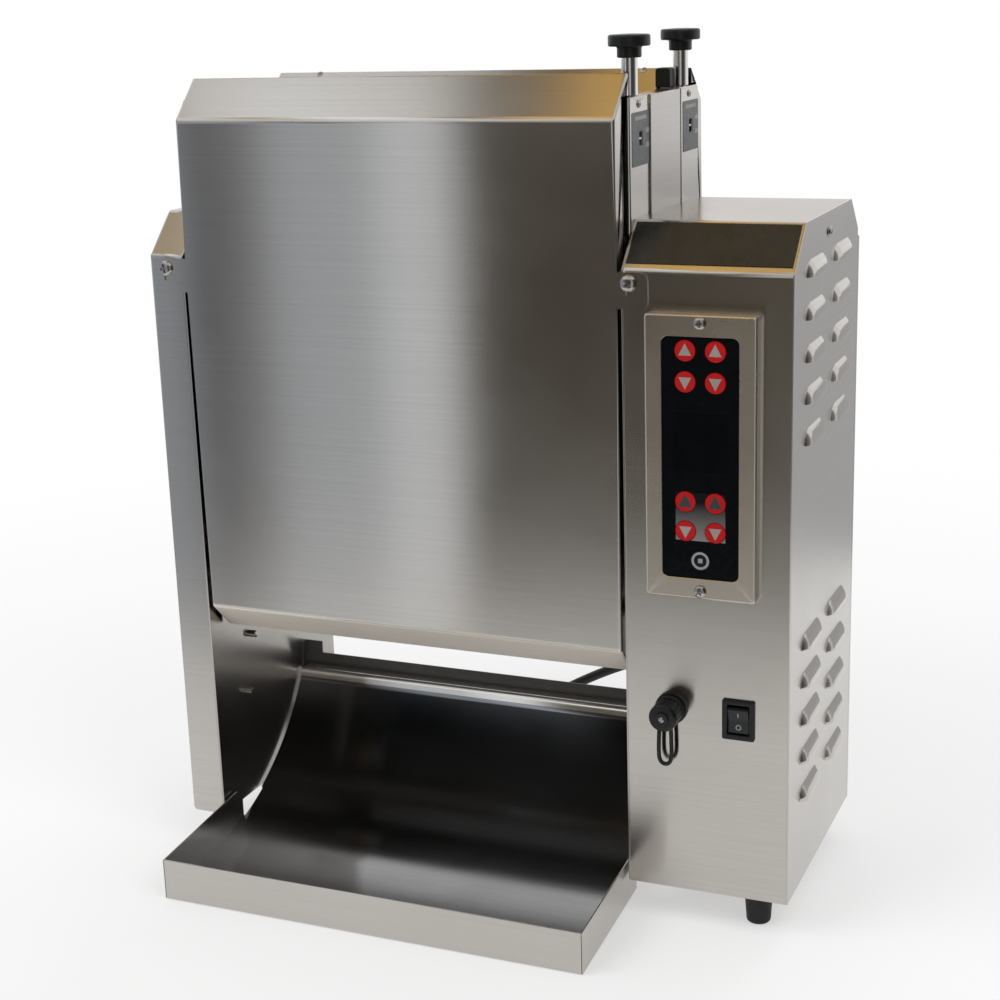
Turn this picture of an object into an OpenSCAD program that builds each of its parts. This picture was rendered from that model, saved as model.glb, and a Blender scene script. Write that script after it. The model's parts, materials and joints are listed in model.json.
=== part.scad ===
// Vertical contact toaster for buns: a heated platen between two belt conveyors,
// a discharge chute below and a control box on the right. Millimetres, Z up,
// front towards -Y, origin on the table under the middle of the machine.

/* [Case] */
// Height of the rubber feet
foot_h = 30; // [20:1:50]
// Height of the control box and of the left post above the feet
case_h = 517.5; // [460:0.5:600]
// Depth of the case from front to back
body_d = 212; // [204:1:250]
// Size of the sloped edge along the top of the case
case_slope = 32.5; // [20:0.5:40]
// Width of the left post
post_w = 31; // [28:0.5:50]
// Clear width between the left post and the control box
bay_w = 369.5; // [320:0.5:440]
// Width of the control box
box_w = 128; // [120:1:170]
// Thickness of the outer sheet metal
sheet_t = 1.2; // [0.8:0.1:1.6]
// Thickness of the two side frames
frame_t = 1.5; // [1.2:0.1:2.5]
// Width of the rear wall's flange on the right side
rear_flange_w = 7; // [5:0.5:12]

/* [Covers] */
// Gap between a cover and the case on each side
cover_gap = 3; // [1.5:0.5:5]
// Open height under the covers, above the bottom of the case
mouth_h = 168; // [150:1:180]
// Height of the covers above the top of the case
cover_rise = 106; // [96:1:130]
// Size of the sloped edge along the top of a cover
cover_slope = 31.5; // [20:0.5:34]
// How far the bottom flange of a cover runs inwards
cover_toe = 23; // [18:1:38]
// How far the bottom flange of a cover drops
cover_drop = 23.5; // [12:0.5:26]
// Depth of the side flanges of a cover
cover_flange = 15; // [8:1:18]
// Length of the fixing tabs beside a cover
tab_reach = 23.5; // [21:0.5:26]
// Height of the fixing tabs
tab_h = 27; // [20:1:34]

/* [Control panel] */
// Width of the raised keypad bezel
bezel_w = 84; // [80:1:100]
// Height of the raised keypad bezel
bezel_h = 212.5; // [205:0.5:230]
// How far the keypad bezel stands proud of the box
bezel_raise = 10; // [7:0.5:12]
// Distance from the top of the case down to the bezel
bezel_drop = 61.5; // [56:0.5:75]
// Width of the bezel's band at each side of the black overlay
bezel_side_band = 13; // [10:0.5:16]
// Height of the bezel's band above and below the black overlay
bezel_end_band = 15.75; // [12:0.25:18]
// Diameter of a key
key_d = 15.5; // [12:0.5:18]
// Distance between the two columns of keys
key_pitch = 22.6; // [20:0.2:25]
// How far a key travels
key_travel = 0.5; // [0.3:0.1:0.6]
// Width of the display window
display_w = 42; // [30:1:48]
// Height of the display window
display_h = 46; // [30:1:52]
// Width of the mains switch
switch_w = 25; // [22:0.5:28]
// Height of the mains switch
switch_h = 32; // [28:0.5:36]
// Angle of the switch paddle to either side
switch_tilt = 9; // [6:0.5:12]
// Diameter of the service port's barrel
port_d = 17; // [15:0.5:19]
// Diameter of the service port's cap
cap_d = 22; // [21:0.5:26]
// Width of the black badge plate's margin on the slope
badge_margin = 2.5; // [2:0.5:8]
// Number of louvre rows in a group
louvre_rows = 5; // [3:1:5]
// Height step of the louvre rows
louvre_pitch = 31; // [28:0.5:33]
// Overall length of a louvre
louvre_l = 57; // [50:1:64]
// Height of a louvre
louvre_h = 12; // [9:0.5:14]
// How far a louvre stands out
louvre_out = 5; // [3:0.5:6]

/* [Conveyors] */
// Room at each end of a belt for plates and adjusters
belt_side = 25; // [25:0.5:40]
// Thickness of a belt
belt_t = 2; // [1.5:0.5:3]
// Radius of the rollers
roller_r = 18; // [15:0.5:19]
// Radius of the drive roller's shaft
drive_shaft_r = 6; // [5:0.5:7]
// Radius of the idler roller's shaft
idler_shaft_r = 5; // [4:0.5:6]
// Height of the drive roller above the lower edge of the covers
drive_lift = 42; // [40:1:60]
// Distance of the idler roller below the upper edge of the covers
idler_drop = 53.5; // [50:0.5:62]
// Thickness of the carriage plates
plate_t = 3; // [2:0.5:4]
// Width of the carriage plates
plate_w = 32; // [30:1:35]
// Width of the gap that a bun passes through
lane_w = 28; // [24:1:30]
// Overall thickness of the platen
platen_t = 20; // [18:1:24]
// Thickness of each platen plate
platen_plate_t = 7; // [5:0.5:7]
// Number of runs of the heating element
element_runs = 7; // [3:2:9]

/* [Adjusters] */
// Diameter of an adjuster rod above its bracket
rod_d = 12; // [10:0.5:13]
// Diameter of the adjuster's thread
thread_d = 8; // [6:0.5:8]
// Diameter of an adjuster knob
knob_d = 31; // [26:0.5:36]
// Width of a scale bracket
bracket_w = 44; // [42:0.5:46]
// Travel of the pointer to either side
pointer_travel = 4; // [3:0.5:4]

/* [Chute] */
// How far the chute reaches out in front of the case
chute_reach = 102; // [70:1:140]
// Radius of the curved chute floor
chute_r = 200; // [180:1:220]
// Slope of the chute floor at its top edge
chute_end_slope = 61.3; // [56:0.1:64]
// Slope of the chute floor at the front
chute_front_slope = 4.2; // [3:0.2:6]
// Height of the chute's top edge above the table
chute_top = 115; // [108:1:122]
// Height of the front apron above the table
apron_h = 35; // [26:1:45]

/* [Hidden] */
$fn = 64;

// Clearances
fit_gap = 0.3;      // between pieces of different bodies
run_gap = 0.05;     // between a shaft and its bore, on the radius
seat_gap = 0.2;     // between loosely fitted sheet pieces

// Case
case_top = foot_h + case_h;
bay_l = post_w;
bay_r = post_w + bay_w;
box_l = bay_r;
box_r = bay_r + box_w;
keypad_shift = 2;   // the keypad stands left of the box's middle
box_mid = (box_l + box_r) / 2 - keypad_shift;
mid_x = bay_l + bay_w / 2;
mid_y = body_d / 2;
screw_r = 2;
screw_hole_r = 2.1;
screw_head_r = 4;
screw_head_h = 2.2;
small_head_r = 2.8;
small_screw_l = 2;
small_screw_offset = 4;

// The row origin: the middle of the machine's box, at the table
origin_x = (box_r + louvre_out) / 2;
origin_y = (body_d + sheet_t + screw_head_h - chute_reach) / 2;

// Covers
cover_x = bay_l + cover_gap;
cover_w = bay_w - 2 * cover_gap;
cover_bottom = foot_h + mouth_h;
cover_top = case_top + cover_rise;
face_bottom = cover_bottom + cover_drop;
face_top = cover_top - cover_slope;
tab_top = case_top - case_slope - 1.5;
tab_corner = 6;
tab_screw_z = tab_top - 8;
tab_slot_l = 9.5;
post_screw_x = post_w / 2;
box_screw_x = box_l + 6;

// Conveyors
roller_y = mid_y - platen_t / 2 - lane_w - belt_t - fit_gap - roller_r;
drive_z = cover_bottom + drive_lift;
idler_z = cover_top - idler_drop;
belt_x = bay_l + belt_side;
belt_w = bay_w - 2 * belt_side;
belt_plate_gap = 4;
plate_l_x = belt_x - belt_plate_gap - plate_t;
plate_r_x = belt_x + belt_w + belt_plate_gap;
roller_overhang = 1;
bush_wall = 3;
bush_flange = 3;
bush_r = drive_shaft_r + bush_wall;
bush_flange_r = bush_r + bush_flange;
bush_flange_t = 3;
bush_l = 5;
tie_r = 6;
tie_inset = 90;
platen_l = 19;      // from a side frame to the end of the platen
platen_low = face_bottom + 6;
platen_high = idler_z + 15;
platen_lead = 4;
element_gap = 0.1;
element_r = (platen_t - 2 * platen_plate_t) / 2 - element_gap;
element_margin = 25;
bracket_z_gap = 60;
bracket_block_h = 20;

// Adjusters
end_top = cover_top - 18.5;
rod_x = bay_r - 8;
rod_inset = 24;     // from the bracket's front edge to the rod
rod_room = 3.7;     // between the rear rod and the rear cover's inner flange
slot_margin = 1.5;  // between the pin's slot and the edge of its plate
pin_r = 2.5;
slot_reach = pointer_travel + pin_r + fit_gap;
front_rod_shift = 0.3;
rear_rod_shift = min(
    plate_w / 2 - slot_reach - slot_margin,
    roller_y - cover_slope + sheet_t - rod_room - rod_d / 2
);
front_rod_y = roller_y + front_rod_shift;
rear_rod_y = body_d - roller_y + rear_rod_shift;
front_bracket_y = front_rod_y - rod_inset;
rear_bracket_y = rear_rod_y - rod_inset;
bracket_reach = 17;
bracket_lap = 11.5;
bracket_low = case_top - bracket_lap;
bracket_flange = 12;
tongue_front = front_bracket_y + bracket_w + 0.5;
tongue_back = rear_bracket_y - 8;
tongue_flange = 14;
left_tongue_inset = case_slope + 1.5;
label_w = 40;
label_h = 39;
label_t = 0.3;
label_top_gap = 11;
label_z = end_top - label_top_gap - label_h / 2;
window_w = 9;
pointer_t = 1.5;
window_h = 2 * pointer_travel + pointer_t + 0.8;
nut_drop = 39;      // from the scale window down to the nut
nut_z = label_z - nut_drop;
nut_h = 14;
nut_w = 16;
rod_len = 27;
hub_r = 9;
hub_h = 8;
disc_h = 8.4;
stop_w = 12;
stop_d = 13;
stop_h = 15;
stop_edge = 1.5;
stop_inset = 1;
stop_overhang = 4.5;
guide_reach = 28;
guide_clear = 24;
guide_top = cover_top - 4;
guide_fall = 25;
guide_back_h = 10;
guide_tip_h = 4;
rear_top_drop = 4;  // the rear cover's top edge lies this much lower
cheek_gap = 1.5;    // between a scale bracket and the cheek above it

// Chute
chute_t = 1.2;
chute_lift = 0.6;
chute_inset = 64.6;
chute_back = body_d - chute_inset;
chute_cy = chute_back - chute_r * sin(chute_end_slope);
chute_cz = chute_top + chute_r * cos(chute_end_slope);
wall_gap = 2;
wall_x = bay_l + wall_gap;
wall_w = bay_w - 2 * wall_gap;
wall_back = 25;
floor_gap = 9;
floor_x = bay_l + floor_gap;
floor_w = bay_w - 2 * floor_gap;
lip_l = 9;
lip_root = 1;       // degrees of the arc that the lip's root reaches into
bar_t = 1.5;
bar_rise = 10.5;    // from the chute's top edge to the bar's
bar_lap = 6;        // of the chute's lip on the bar's ledge
bar_ledge = chute_top - chute_t - fit_gap;
bar_face = chute_back + lip_l + 2 * fit_gap;
bar_front = chute_back + lip_l - bar_lap;
ear_w = 18;
ear_h = 11;
peg_r = 3;
peg_l = 6;
peg_places = [62.5, 49.5];
peg_rises = [145, 96.5];
pegs = [for (i = [0, 1]) [peg_places[i], foot_h + peg_rises[i]]];

// Feet
foot_top_r = 11.5;
foot_low_r = 10;
stud_r = 4;
stud_l = 10;
foot_inset_y = 25;
foot_inset_r = 29;
foot_places = [
    for (x = [post_w / 2, box_r - foot_inset_r], y = [foot_inset_y, body_d - foot_inset_y]) [x, y]
];

// Control panel
bezel_low = case_top - bezel_drop - bezel_h;
bezel_mid = bezel_low + bezel_h / 2;
bezel_corner = 3;
bezel_screw_inset = 6;
overlay_w = bezel_w - 2 * bezel_side_band;
overlay_h = bezel_h - 2 * bezel_end_band;
overlay_corner = 5;
overlay_lap = 2;
overlay_t = 1.8;
overlay_front = -bezel_raise + sheet_t;
key_proud = 0.5;
key_back = 0.2;
key_margin = 10.5;  // from the overlay's top edge to the first row
key_step = 22.8;
low_key_step = 22.3;
start_margin = 14;
start_step = 22;
start_row = start_margin - overlay_h / 2;
key_rows = [
    overlay_h / 2 - key_margin, overlay_h / 2 - key_margin - key_step,
    start_row + start_step + low_key_step, start_row + start_step
];
display_z = bezel_mid + (key_rows[1] + key_rows[2]) / 2;
board_t = 1.6;
chip_w = 14;
chip_h = 1.5;
board_front = overlay_front + overlay_t + key_travel + fit_gap;
board_w = overlay_w + 6;
board_h = overlay_h + 8;
standoff_r = 2.5;
switch_inset = 89;
switch_x = box_l + switch_inset;
switch_rise = 147.5;
switch_z = foot_h + switch_rise;
switch_lip = 2;
switch_depth = 22;
paddle_w = switch_w - 9;
paddle_h = switch_h - 9;
paddle_pivot_y = 5;
paddle_pin_r = 1.5;
paddle_pin_l = 2;
port_inset = 36.5;
port_x = box_l + port_inset;
port_rise = 151;
port_z = foot_h + port_rise;
port_l = 16;
cap_l = 9;
cap_wall = 2;
tether_r = 1.6;
tether_w = 12;
tether_drop = 38;
badge_t = 0.8;
badge_low_strip = 6;

// Louvres: rows are heights above the bottom of the case
louvre_inset = 64;
louvre_drop = 164;
louvre_rise = 70;
louvre_columns = [louvre_inset, body_d - louvre_inset];
louvre_groups = [case_h - louvre_drop, louvre_rise];
louvre_curve = (louvre_h * louvre_h + louvre_out * louvre_out) / (2 * louvre_out);
louvre_wall = 1;
panel_screw_y = mid_y - 2;
panel_screw_z = case_top - 15.5;

// Gearmotors
gearbox_w = 64;
gearbox_l = 44;
motor_r = 29;
motor_l = 68;

// Cord: points lie on the machine's own axes, measured from the left post,
// the front of the case and the table
cord_d = 9;
cord_sides = 10;
gland_inset = 31.5;
gland_rise = 115;
gland_x = box_l + gland_inset;
gland_z = foot_h + gland_rise;
gland_nut_r = 11;
gland_nut_l = 8;
gland_cone_l = 18;
gland_inner_l = 8;
gland_inner_r = 7.5;
coil_x = 100;
coil_y = 308;
coil_in = 37;
coil_step = 9.8;
coil_lift = 9.7;
coil_turns = 4.5;
coil_rings = 24;
coil_sides = 6;
coil_tail = 48;
plug_l = 38;
plug_r = 14;
cord_end_y = coil_y - coil_in - coil_step * coil_turns / 2;
cord_route = [
    [432, 238, 145], [432, 249, 145], [430, 261, 144], [424, 271, 143], [415, 279, 141], [402, 284, 138],
    [384, 286, 132], [364, 286, 124], [344, 286, 116], [324, 285, 108], [304, 284, 99], [284, 283, 90],
    [264, 281, 80], [244, 278, 69], [224, 274, 57], [205, 269, 44], [187, 264, 31], [169, 259, 19],
    [151, 254, 10], [132, 250, 5.5], [114, cord_end_y, cord_d / 2], [coil_x + cord_d, cord_end_y, cord_d / 2]
];

steel = "#b9b4aa";
bright_steel = "#d5d6d8";
plated = "#9aa0a4";
black_plastic = "#1b1b1d";
dark_steel = "#3a3a3c";
red_key = "#c4161c";
brown_belt = "#7a4a2a";
cast_alloy = "#a9abad";

// Sheet profiles: a band of thickness t on the right hand of an open outline
function unit(v) = v / norm(v);
function right_of(p, i) = let (d = unit(p[i + 1] - p[i])) [d[1], -d[0]];
function inset_point(p, i, t) =
    i == 0 ? p[0] + t * right_of(p, 0)
    : i == len(p) - 1 ? p[i] + t * right_of(p, i - 1)
    : let (a = right_of(p, i - 1), b = right_of(p, i)) p[i] + t * (a + b) / (1 + a * b);
function band(p, t) = concat(p, [for (i = [len(p) - 1:-1:0]) inset_point(p, i, t)]);

case_outline = [
    [0, foot_h], [0, case_top - case_slope], [case_slope, case_top],
    [body_d - case_slope, case_top], [body_d, case_top - case_slope], [body_d, foot_h]
];

// Placing helpers
module machine() {
    translate([-origin_x, -origin_y, 0]) children();
}
module to_rear() {
    translate([0, body_d, 0]) mirror([0, 1, 0]) children();
}
module along_x(x, length) {
    translate([x, 0, 0]) rotate([90, 0, 90]) linear_extrude(length) children();
}
module along_y(y, length) {
    translate([0, y + length, 0]) rotate([90, 0, 0]) linear_extrude(length) children();
}
module rod_along_x(x, y, z, length, r) {
    translate([x, y, z]) rotate([0, 90, 0]) cylinder(h = length, r = r);
}
module rod_along_y(x, y, z, length, r) {
    translate([x, y, z]) rotate([-90, 0, 0]) cylinder(h = length, r = r);
}
module round_rect(w, h, r) {
    square([w, h - 2 * r], center = true);
    square([w - 2 * r, h], center = true);
    for (sx = [-1, 1], sy = [-1, 1]) {
        translate([sx * (w / 2 - r), sy * (h / 2 - r)]) circle(r);
    }
}
// A pan head screw that points along +Z, its head below Z = 0
module pan_screw(head_r, shank_l) {
    rotate_extrude() polygon([
        [0, -screw_head_h], [head_r * 0.55, -screw_head_h], [head_r * 0.9, -screw_head_h * 0.6],
        [head_r, 0], [screw_r, 0], [screw_r, shank_l], [0, shank_l]
    ]);
}

// Side frames and case
module tongue_outline(y0, y1, top) {
    polygon(concat(
        [case_outline[0], case_outline[1], case_outline[2]],
        [[y0, case_top], [y0, top], [y1, top], [y1, case_top]],
        [case_outline[3], case_outline[4], case_outline[5]]
    ));
}
module bush_holes(x) {
    for (y = [roller_y, body_d - roller_y]) {
        rod_along_x(x - 1, y, drive_z, frame_t + 2, bush_r + run_gap);
    }
}
module foot_holes() {
    for (p = foot_places) {
        translate([p[0], p[1], foot_h - 1]) cylinder(h = frame_t + 2, r = stud_r + seat_gap);
    }
}
module left_side_frame() {
    color(steel) machine() {
        difference() {
            union() {
                along_x(bay_l - frame_t, frame_t)
                    tongue_outline(left_tongue_inset, body_d - left_tongue_inset, end_top);
                translate([sheet_t + seat_gap, sheet_t + seat_gap, foot_h])
                    cube([bay_l - sheet_t - seat_gap, body_d - 2 * (sheet_t + seat_gap), frame_t]);
            }
            bush_holes(bay_l - frame_t);
            foot_holes();
        }
        for (p = pegs) {
            rod_along_x(bay_l, p[0], p[1], peg_l, peg_r);
        }
    }
}
module right_side_frame() {
    color(steel) machine() {
        difference() {
            union() {
                along_x(bay_r, frame_t) tongue_outline(tongue_front, tongue_back, end_top);
                translate([bay_r, sheet_t + seat_gap, foot_h])
                    cube([box_w - sheet_t - seat_gap, body_d - 2 * (sheet_t + seat_gap), frame_t]);
                translate([bay_r - tongue_flange, tongue_front, end_top - frame_t])
                    cube([tongue_flange + frame_t, tongue_back - tongue_front, frame_t]);
            }
            bush_holes(bay_r);
            foot_holes();
        }
    }
}
module left_post_shell() {
    color(steel) machine() difference() {
        union() {
            along_x(0, sheet_t) polygon(case_outline);
            along_x(0, post_w - frame_t) polygon(band(case_outline, sheet_t));
        }
        cover_screw_holes(post_screw_x);
    }
}
module cover_screw_holes(x) {
    rod_along_y(x, -1, tab_screw_z, body_d + 2, screw_hole_r);
}
module control_box_shell() {
    wrap_x = box_l + frame_t;
    wrap_w = box_w - frame_t - sheet_t;
    color(steel) machine() difference() {
        union() {
            along_x(wrap_x, wrap_w) polygon(band(case_outline, sheet_t));
            translate([box_r - sheet_t, body_d - rear_flange_w, foot_h])
                cube([sheet_t, rear_flange_w, case_h - case_slope]);
        }
        cover_screw_holes(box_screw_x);
        for (z = bezel_screw_heights()) {
            rod_along_y(box_mid, -1, z, sheet_t + 2, screw_hole_r);
        }
        rod_along_y(box_mid, -1, bezel_mid, sheet_t + 2, 10);
        translate([switch_x, 0, switch_z]) along_y(-1, sheet_t + 2)
            square([switch_w - 3, switch_h - 3], center = true);
        rod_along_y(port_x, -1, port_z, sheet_t + 2, port_d / 2 + seat_gap);
        rod_along_y(gland_x, body_d - sheet_t - 1, gland_z, sheet_t + 2, gland_inner_r + seat_gap);
    }
}

// Louvred side panel
module louvre_form(r) {
    straight = louvre_l - 2 * louvre_h;
    translate([0, -straight / 2, 0]) rotate([-90, 0, 0]) cylinder(h = straight, r = r);
    for (s = [-1, 1]) {
        translate([0, s * straight / 2, 0]) sphere(r);
    }
}
module louvre_half(r) {
    intersection() {
        translate([louvre_out - louvre_curve, 0, 0]) louvre_form(r);
        translate([-sheet_t - 1, -louvre_l, 0]) cube([2 * louvre_curve, 2 * louvre_l, 2 * louvre_curve]);
    }
}
module at_louvres() {
    for (y = louvre_columns, group = louvre_groups, row = [0:louvre_rows - 1]) {
        translate([box_r, y, foot_h + group + row * louvre_pitch]) children();
    }
}
module side_panel() {
    panel_back = body_d - rear_flange_w - seat_gap;
    color(steel) machine() {
        difference() {
            along_x(box_r - sheet_t, sheet_t) intersection() {
                polygon(case_outline);
                translate([0, foot_h]) square([panel_back, case_h]);
            }
            at_louvres() louvre_half(louvre_curve - louvre_wall);
            rod_along_x(box_r - sheet_t - 1, panel_screw_y, panel_screw_z, sheet_t + 2, screw_hole_r);
        }
        at_louvres() intersection() {
            difference() {
                louvre_half(louvre_curve);
                louvre_half(louvre_curve - louvre_wall);
            }
            translate([-sheet_t / 2, -louvre_l, 0]) cube([2 * louvre_out, 2 * louvre_l, 2 * louvre_h]);
        }
    }
}
module badge_plate() {
    low = badge_low_strip / sqrt(2);
    high = case_slope - badge_margin / sqrt(2);
    base = case_top - case_slope;
    color(black_plastic) machine()
        along_x(box_l + badge_margin, box_w - 2 * badge_margin)
            polygon(band([[high, base + high], [low, base + low]], badge_t));
}

// Covers
module cover_tab(x, screw_x) {
    along_y(-sheet_t, sheet_t) difference() {
        translate([x, tab_top - tab_h / 2]) round_rect(2 * tab_reach, tab_h, tab_corner);
        translate([screw_x, tab_screw_z]) circle(screw_hole_r);
        translate([screw_x - screw_hole_r, tab_screw_z - tab_slot_l]) square([2 * screw_hole_r, tab_slot_l]);
    }
}
module cover(top_drop = 0) {
    top_y = cover_slope - sheet_t - top_drop;
    top_z = cover_top - top_drop;
    profile = [
        [cover_toe, cover_bottom], [-sheet_t, face_bottom], [-sheet_t, face_top],
        [top_y, top_z], [top_y, top_z - 8]
    ];
    flange_back = cover_flange - sheet_t;
    flange_drop = cover_drop * cover_flange / (cover_toe + sheet_t);
    cheek = [
        [-sheet_t, face_bottom], [-sheet_t, face_top], [top_y, top_z], [top_y, end_top + cheek_gap],
        [flange_back, end_top + cheek_gap], [flange_back, face_bottom - flange_drop]
    ];
    along_x(cover_x, cover_w) polygon(band(profile, sheet_t));
    for (x = [cover_x, cover_x + cover_w - sheet_t]) {
        along_x(x, sheet_t) polygon(cheek);
    }
    cover_tab(cover_x, post_screw_x);
    cover_tab(cover_x + cover_w, box_screw_x);
}
module front_cover() {
    color(steel) machine() cover();
}
module rear_cover() {
    color(steel) machine() to_rear() cover(rear_top_drop);
}
function bezel_screw_heights() = [bezel_low + bezel_screw_inset, bezel_low + bezel_h - bezel_screw_inset];
module panel_screws() {
    shank = 8;
    color(bright_steel) machine() {
        for (x = [post_screw_x, box_screw_x]) {
            translate([x, -sheet_t, tab_screw_z]) rotate([-90, 0, 0]) pan_screw(screw_head_r, shank);
            translate([x, body_d + sheet_t, tab_screw_z]) rotate([90, 0, 0]) pan_screw(screw_head_r, shank);
        }
        for (z = bezel_screw_heights()) {
            translate([box_mid, -bezel_raise, z]) rotate([-90, 0, 0])
                pan_screw(screw_head_r, bezel_raise + shank);
        }
        translate([box_r, panel_screw_y, panel_screw_z]) rotate([0, -90, 0]) pan_screw(screw_head_r, shank);
        for (y = [front_rod_y, rear_rod_y]) {
            translate([bay_r, y - small_screw_offset, end_top - label_top_gap / 2]) rotate([0, -90, 0])
                pan_screw(small_head_r, small_screw_l);
        }
    }
}

// Keypad
module keypad_bezel() {
    color(steel) machine() translate([box_mid, 0, bezel_mid]) difference() {
        along_y(-bezel_raise, bezel_raise) round_rect(bezel_w, bezel_h, bezel_corner);
        along_y(-bezel_raise + sheet_t, bezel_raise)
            round_rect(bezel_w - 2 * sheet_t, bezel_h - 2 * sheet_t, bezel_corner - sheet_t);
        along_y(-bezel_raise - 1, sheet_t + 2) round_rect(overlay_w, overlay_h, overlay_corner);
        for (z = bezel_screw_heights()) {
            rod_along_y(0, -bezel_raise - 1, z - bezel_mid, sheet_t + 2, screw_hole_r);
        }
    }
}
module at_key(column, row_z) {
    translate([box_mid + column * key_pitch / 2, 0, bezel_mid + row_z]) children();
}
module keypad_overlay() {
    color(black_plastic) machine() difference() {
        translate([box_mid, 0, bezel_mid]) along_y(overlay_front, overlay_t)
            round_rect(overlay_w + 2 * overlay_lap, overlay_h + 2 * overlay_lap, overlay_corner);
        for (column = [-1, 1], z = key_rows) {
            at_key(column, z) rod_along_y(0, overlay_front - 1, 0, overlay_t + 2, key_d / 2 + fit_gap);
        }
        at_key(0, start_row) rod_along_y(0, overlay_front - 1, 0, overlay_t + 2, key_d / 2 + fit_gap);
        translate([box_mid, 0, display_z]) along_y(overlay_front - 1, overlay_t + 2)
            square([display_w, display_h], center = true);
    }
}
module display_window() {
    color("#101418") machine() translate([box_mid, 0, display_z])
        along_y(overlay_front, overlay_t) square([display_w, display_h], center = true);
}
module key(column, row) {
    color(red_key) machine() at_key(column, row)
        rod_along_y(0, overlay_front - key_proud, 0, overlay_t + key_proud - key_back, key_d / 2);
}
module key_upper_left_up() {
    key(-1, key_rows[0]);
}
module key_upper_right_up() {
    key(1, key_rows[0]);
}
module key_upper_left_down() {
    key(-1, key_rows[1]);
}
module key_upper_right_down() {
    key(1, key_rows[1]);
}
module key_lower_left_up() {
    key(-1, key_rows[2]);
}
module key_lower_right_up() {
    key(1, key_rows[2]);
}
module key_lower_left_down() {
    key(-1, key_rows[3]);
}
module key_lower_right_down() {
    key(1, key_rows[3]);
}
module key_start() {
    key(0, start_row);
}
module control_board() {
    board_back = board_front + board_t;
    color("darkgreen") machine() translate([box_mid, 0, bezel_mid]) {
        along_y(board_front, board_t) round_rect(board_w, board_h, 2);
        for (sx = [-1, 1], sz = [-1, 1]) {
            rod_along_y(sx * (board_w / 2 - 5), board_back, sz * (board_h / 2 - 5), -board_back, standoff_r);
        }
        for (sz = [-1, 1]) {
            translate([0, 0, sz * board_h / 4]) along_y(board_back, chip_h) square(chip_w, center = true);
        }
    }
}

// Mains switch
module rocker_housing() {
    pin_span = paddle_w + 2 * paddle_pin_l + 1;
    color(black_plastic) machine() translate([switch_x, 0, switch_z]) difference() {
        union() {
            along_y(-switch_lip, switch_lip) round_rect(switch_w, switch_h, 1.5);
            along_y(0, switch_depth) square([switch_w - 3.4, switch_h - 3.4], center = true);
        }
        along_y(-switch_lip - 1, switch_depth - 6) square([paddle_w + 1, paddle_h + 1], center = true);
        rod_along_x(-pin_span / 2, paddle_pivot_y, 0, pin_span, paddle_pin_r + run_gap);
    }
}
// The paddle pivots behind its face; at rest its lower end is pressed in
module rocker_paddle() {
    face = -paddle_pivot_y;
    half = paddle_h / 2;
    color(black_plastic) machine()
    translate([switch_x, paddle_pivot_y, switch_z]) rotate([switch_tilt, 0, 0]) {
        along_x(-paddle_w / 2, paddle_w) polygon([
            [face - 0.5, 0], [face - 2.2, half - 1.6], [face + 3, half - 1.2], [2.5, 4], [2.5, -4],
            [face + 3, -half + 1.2], [face - 2.2, -half + 1.6]
        ]);
        rod_along_x(-paddle_w / 2 - paddle_pin_l, 0, 0, paddle_w + 2 * paddle_pin_l, paddle_pin_r);
    }
}

// Service port
module port_body() {
    color(black_plastic) machine() translate([port_x, 0, port_z]) {
        rod_along_y(0, -3, 0, 3, port_d / 2 + 4);
        rod_along_y(0, -port_l, 0, port_l + 14, port_d / 2);
        along_y(sheet_t, 5) circle(d = port_d + 9, $fn = 6);
    }
}
module port_cap() {
    cap_back = -port_l + 7;
    color(black_plastic) machine() translate([port_x, 0, port_z]) difference() {
        rotate([90, 0, 0]) translate([0, 0, -cap_back]) rotate_extrude() polygon([
            [0, 0], [cap_d / 2 - 0.8, 0], [cap_d / 2, 1], [cap_d / 2, cap_l + 5],
            [cap_d / 2 - 1.5, cap_l + 7],
            [cap_d / 4, cap_l + 7], [cap_d / 4, cap_l + 9], [0, cap_l + 9]
        ]);
        rod_along_y(0, -port_l - fit_gap, 0, port_l, port_d / 2 + run_gap);
        for (i = [0:17]) {
            rotate([0, i * 20, 0]) rod_along_y(cap_d / 2 + 0.3, cap_back - cap_l - 4, 0, cap_l + 3, 0.9);
        }
    }
}
// Elastic loop that keeps the cap: a collar on the barrel and a hanging loop
module cap_tether() {
    collar_y = -6.4;
    loop_x = -3.5;
    color(black_plastic) machine() translate([port_x, collar_y, port_z]) {
        rotate([90, 0, 0]) rotate_extrude() translate([port_d / 2 + tether_r + seat_gap, 0]) circle(tether_r);
        translate([loop_x, 0, 0]) {
            for (s = [-1, 1]) {
                translate([s * tether_w / 2, 0, -tether_drop])
                    cylinder(h = tether_drop - port_d / 2, r = tether_r);
            }
            translate([0, 0, -tether_drop]) rotate([-90, 0, 0])
                rotate_extrude(angle = 180) translate([tether_w / 2, 0]) circle(tether_r);
        }
    }
}

// Feet
module feet() {
    color(black_plastic) machine() for (p = foot_places) {
        translate([p[0], p[1], 0]) {
            cylinder(h = foot_h, r1 = foot_low_r, r2 = foot_top_r);
            cylinder(h = foot_h + stud_l, r = stud_r);
        }
    }
}

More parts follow.
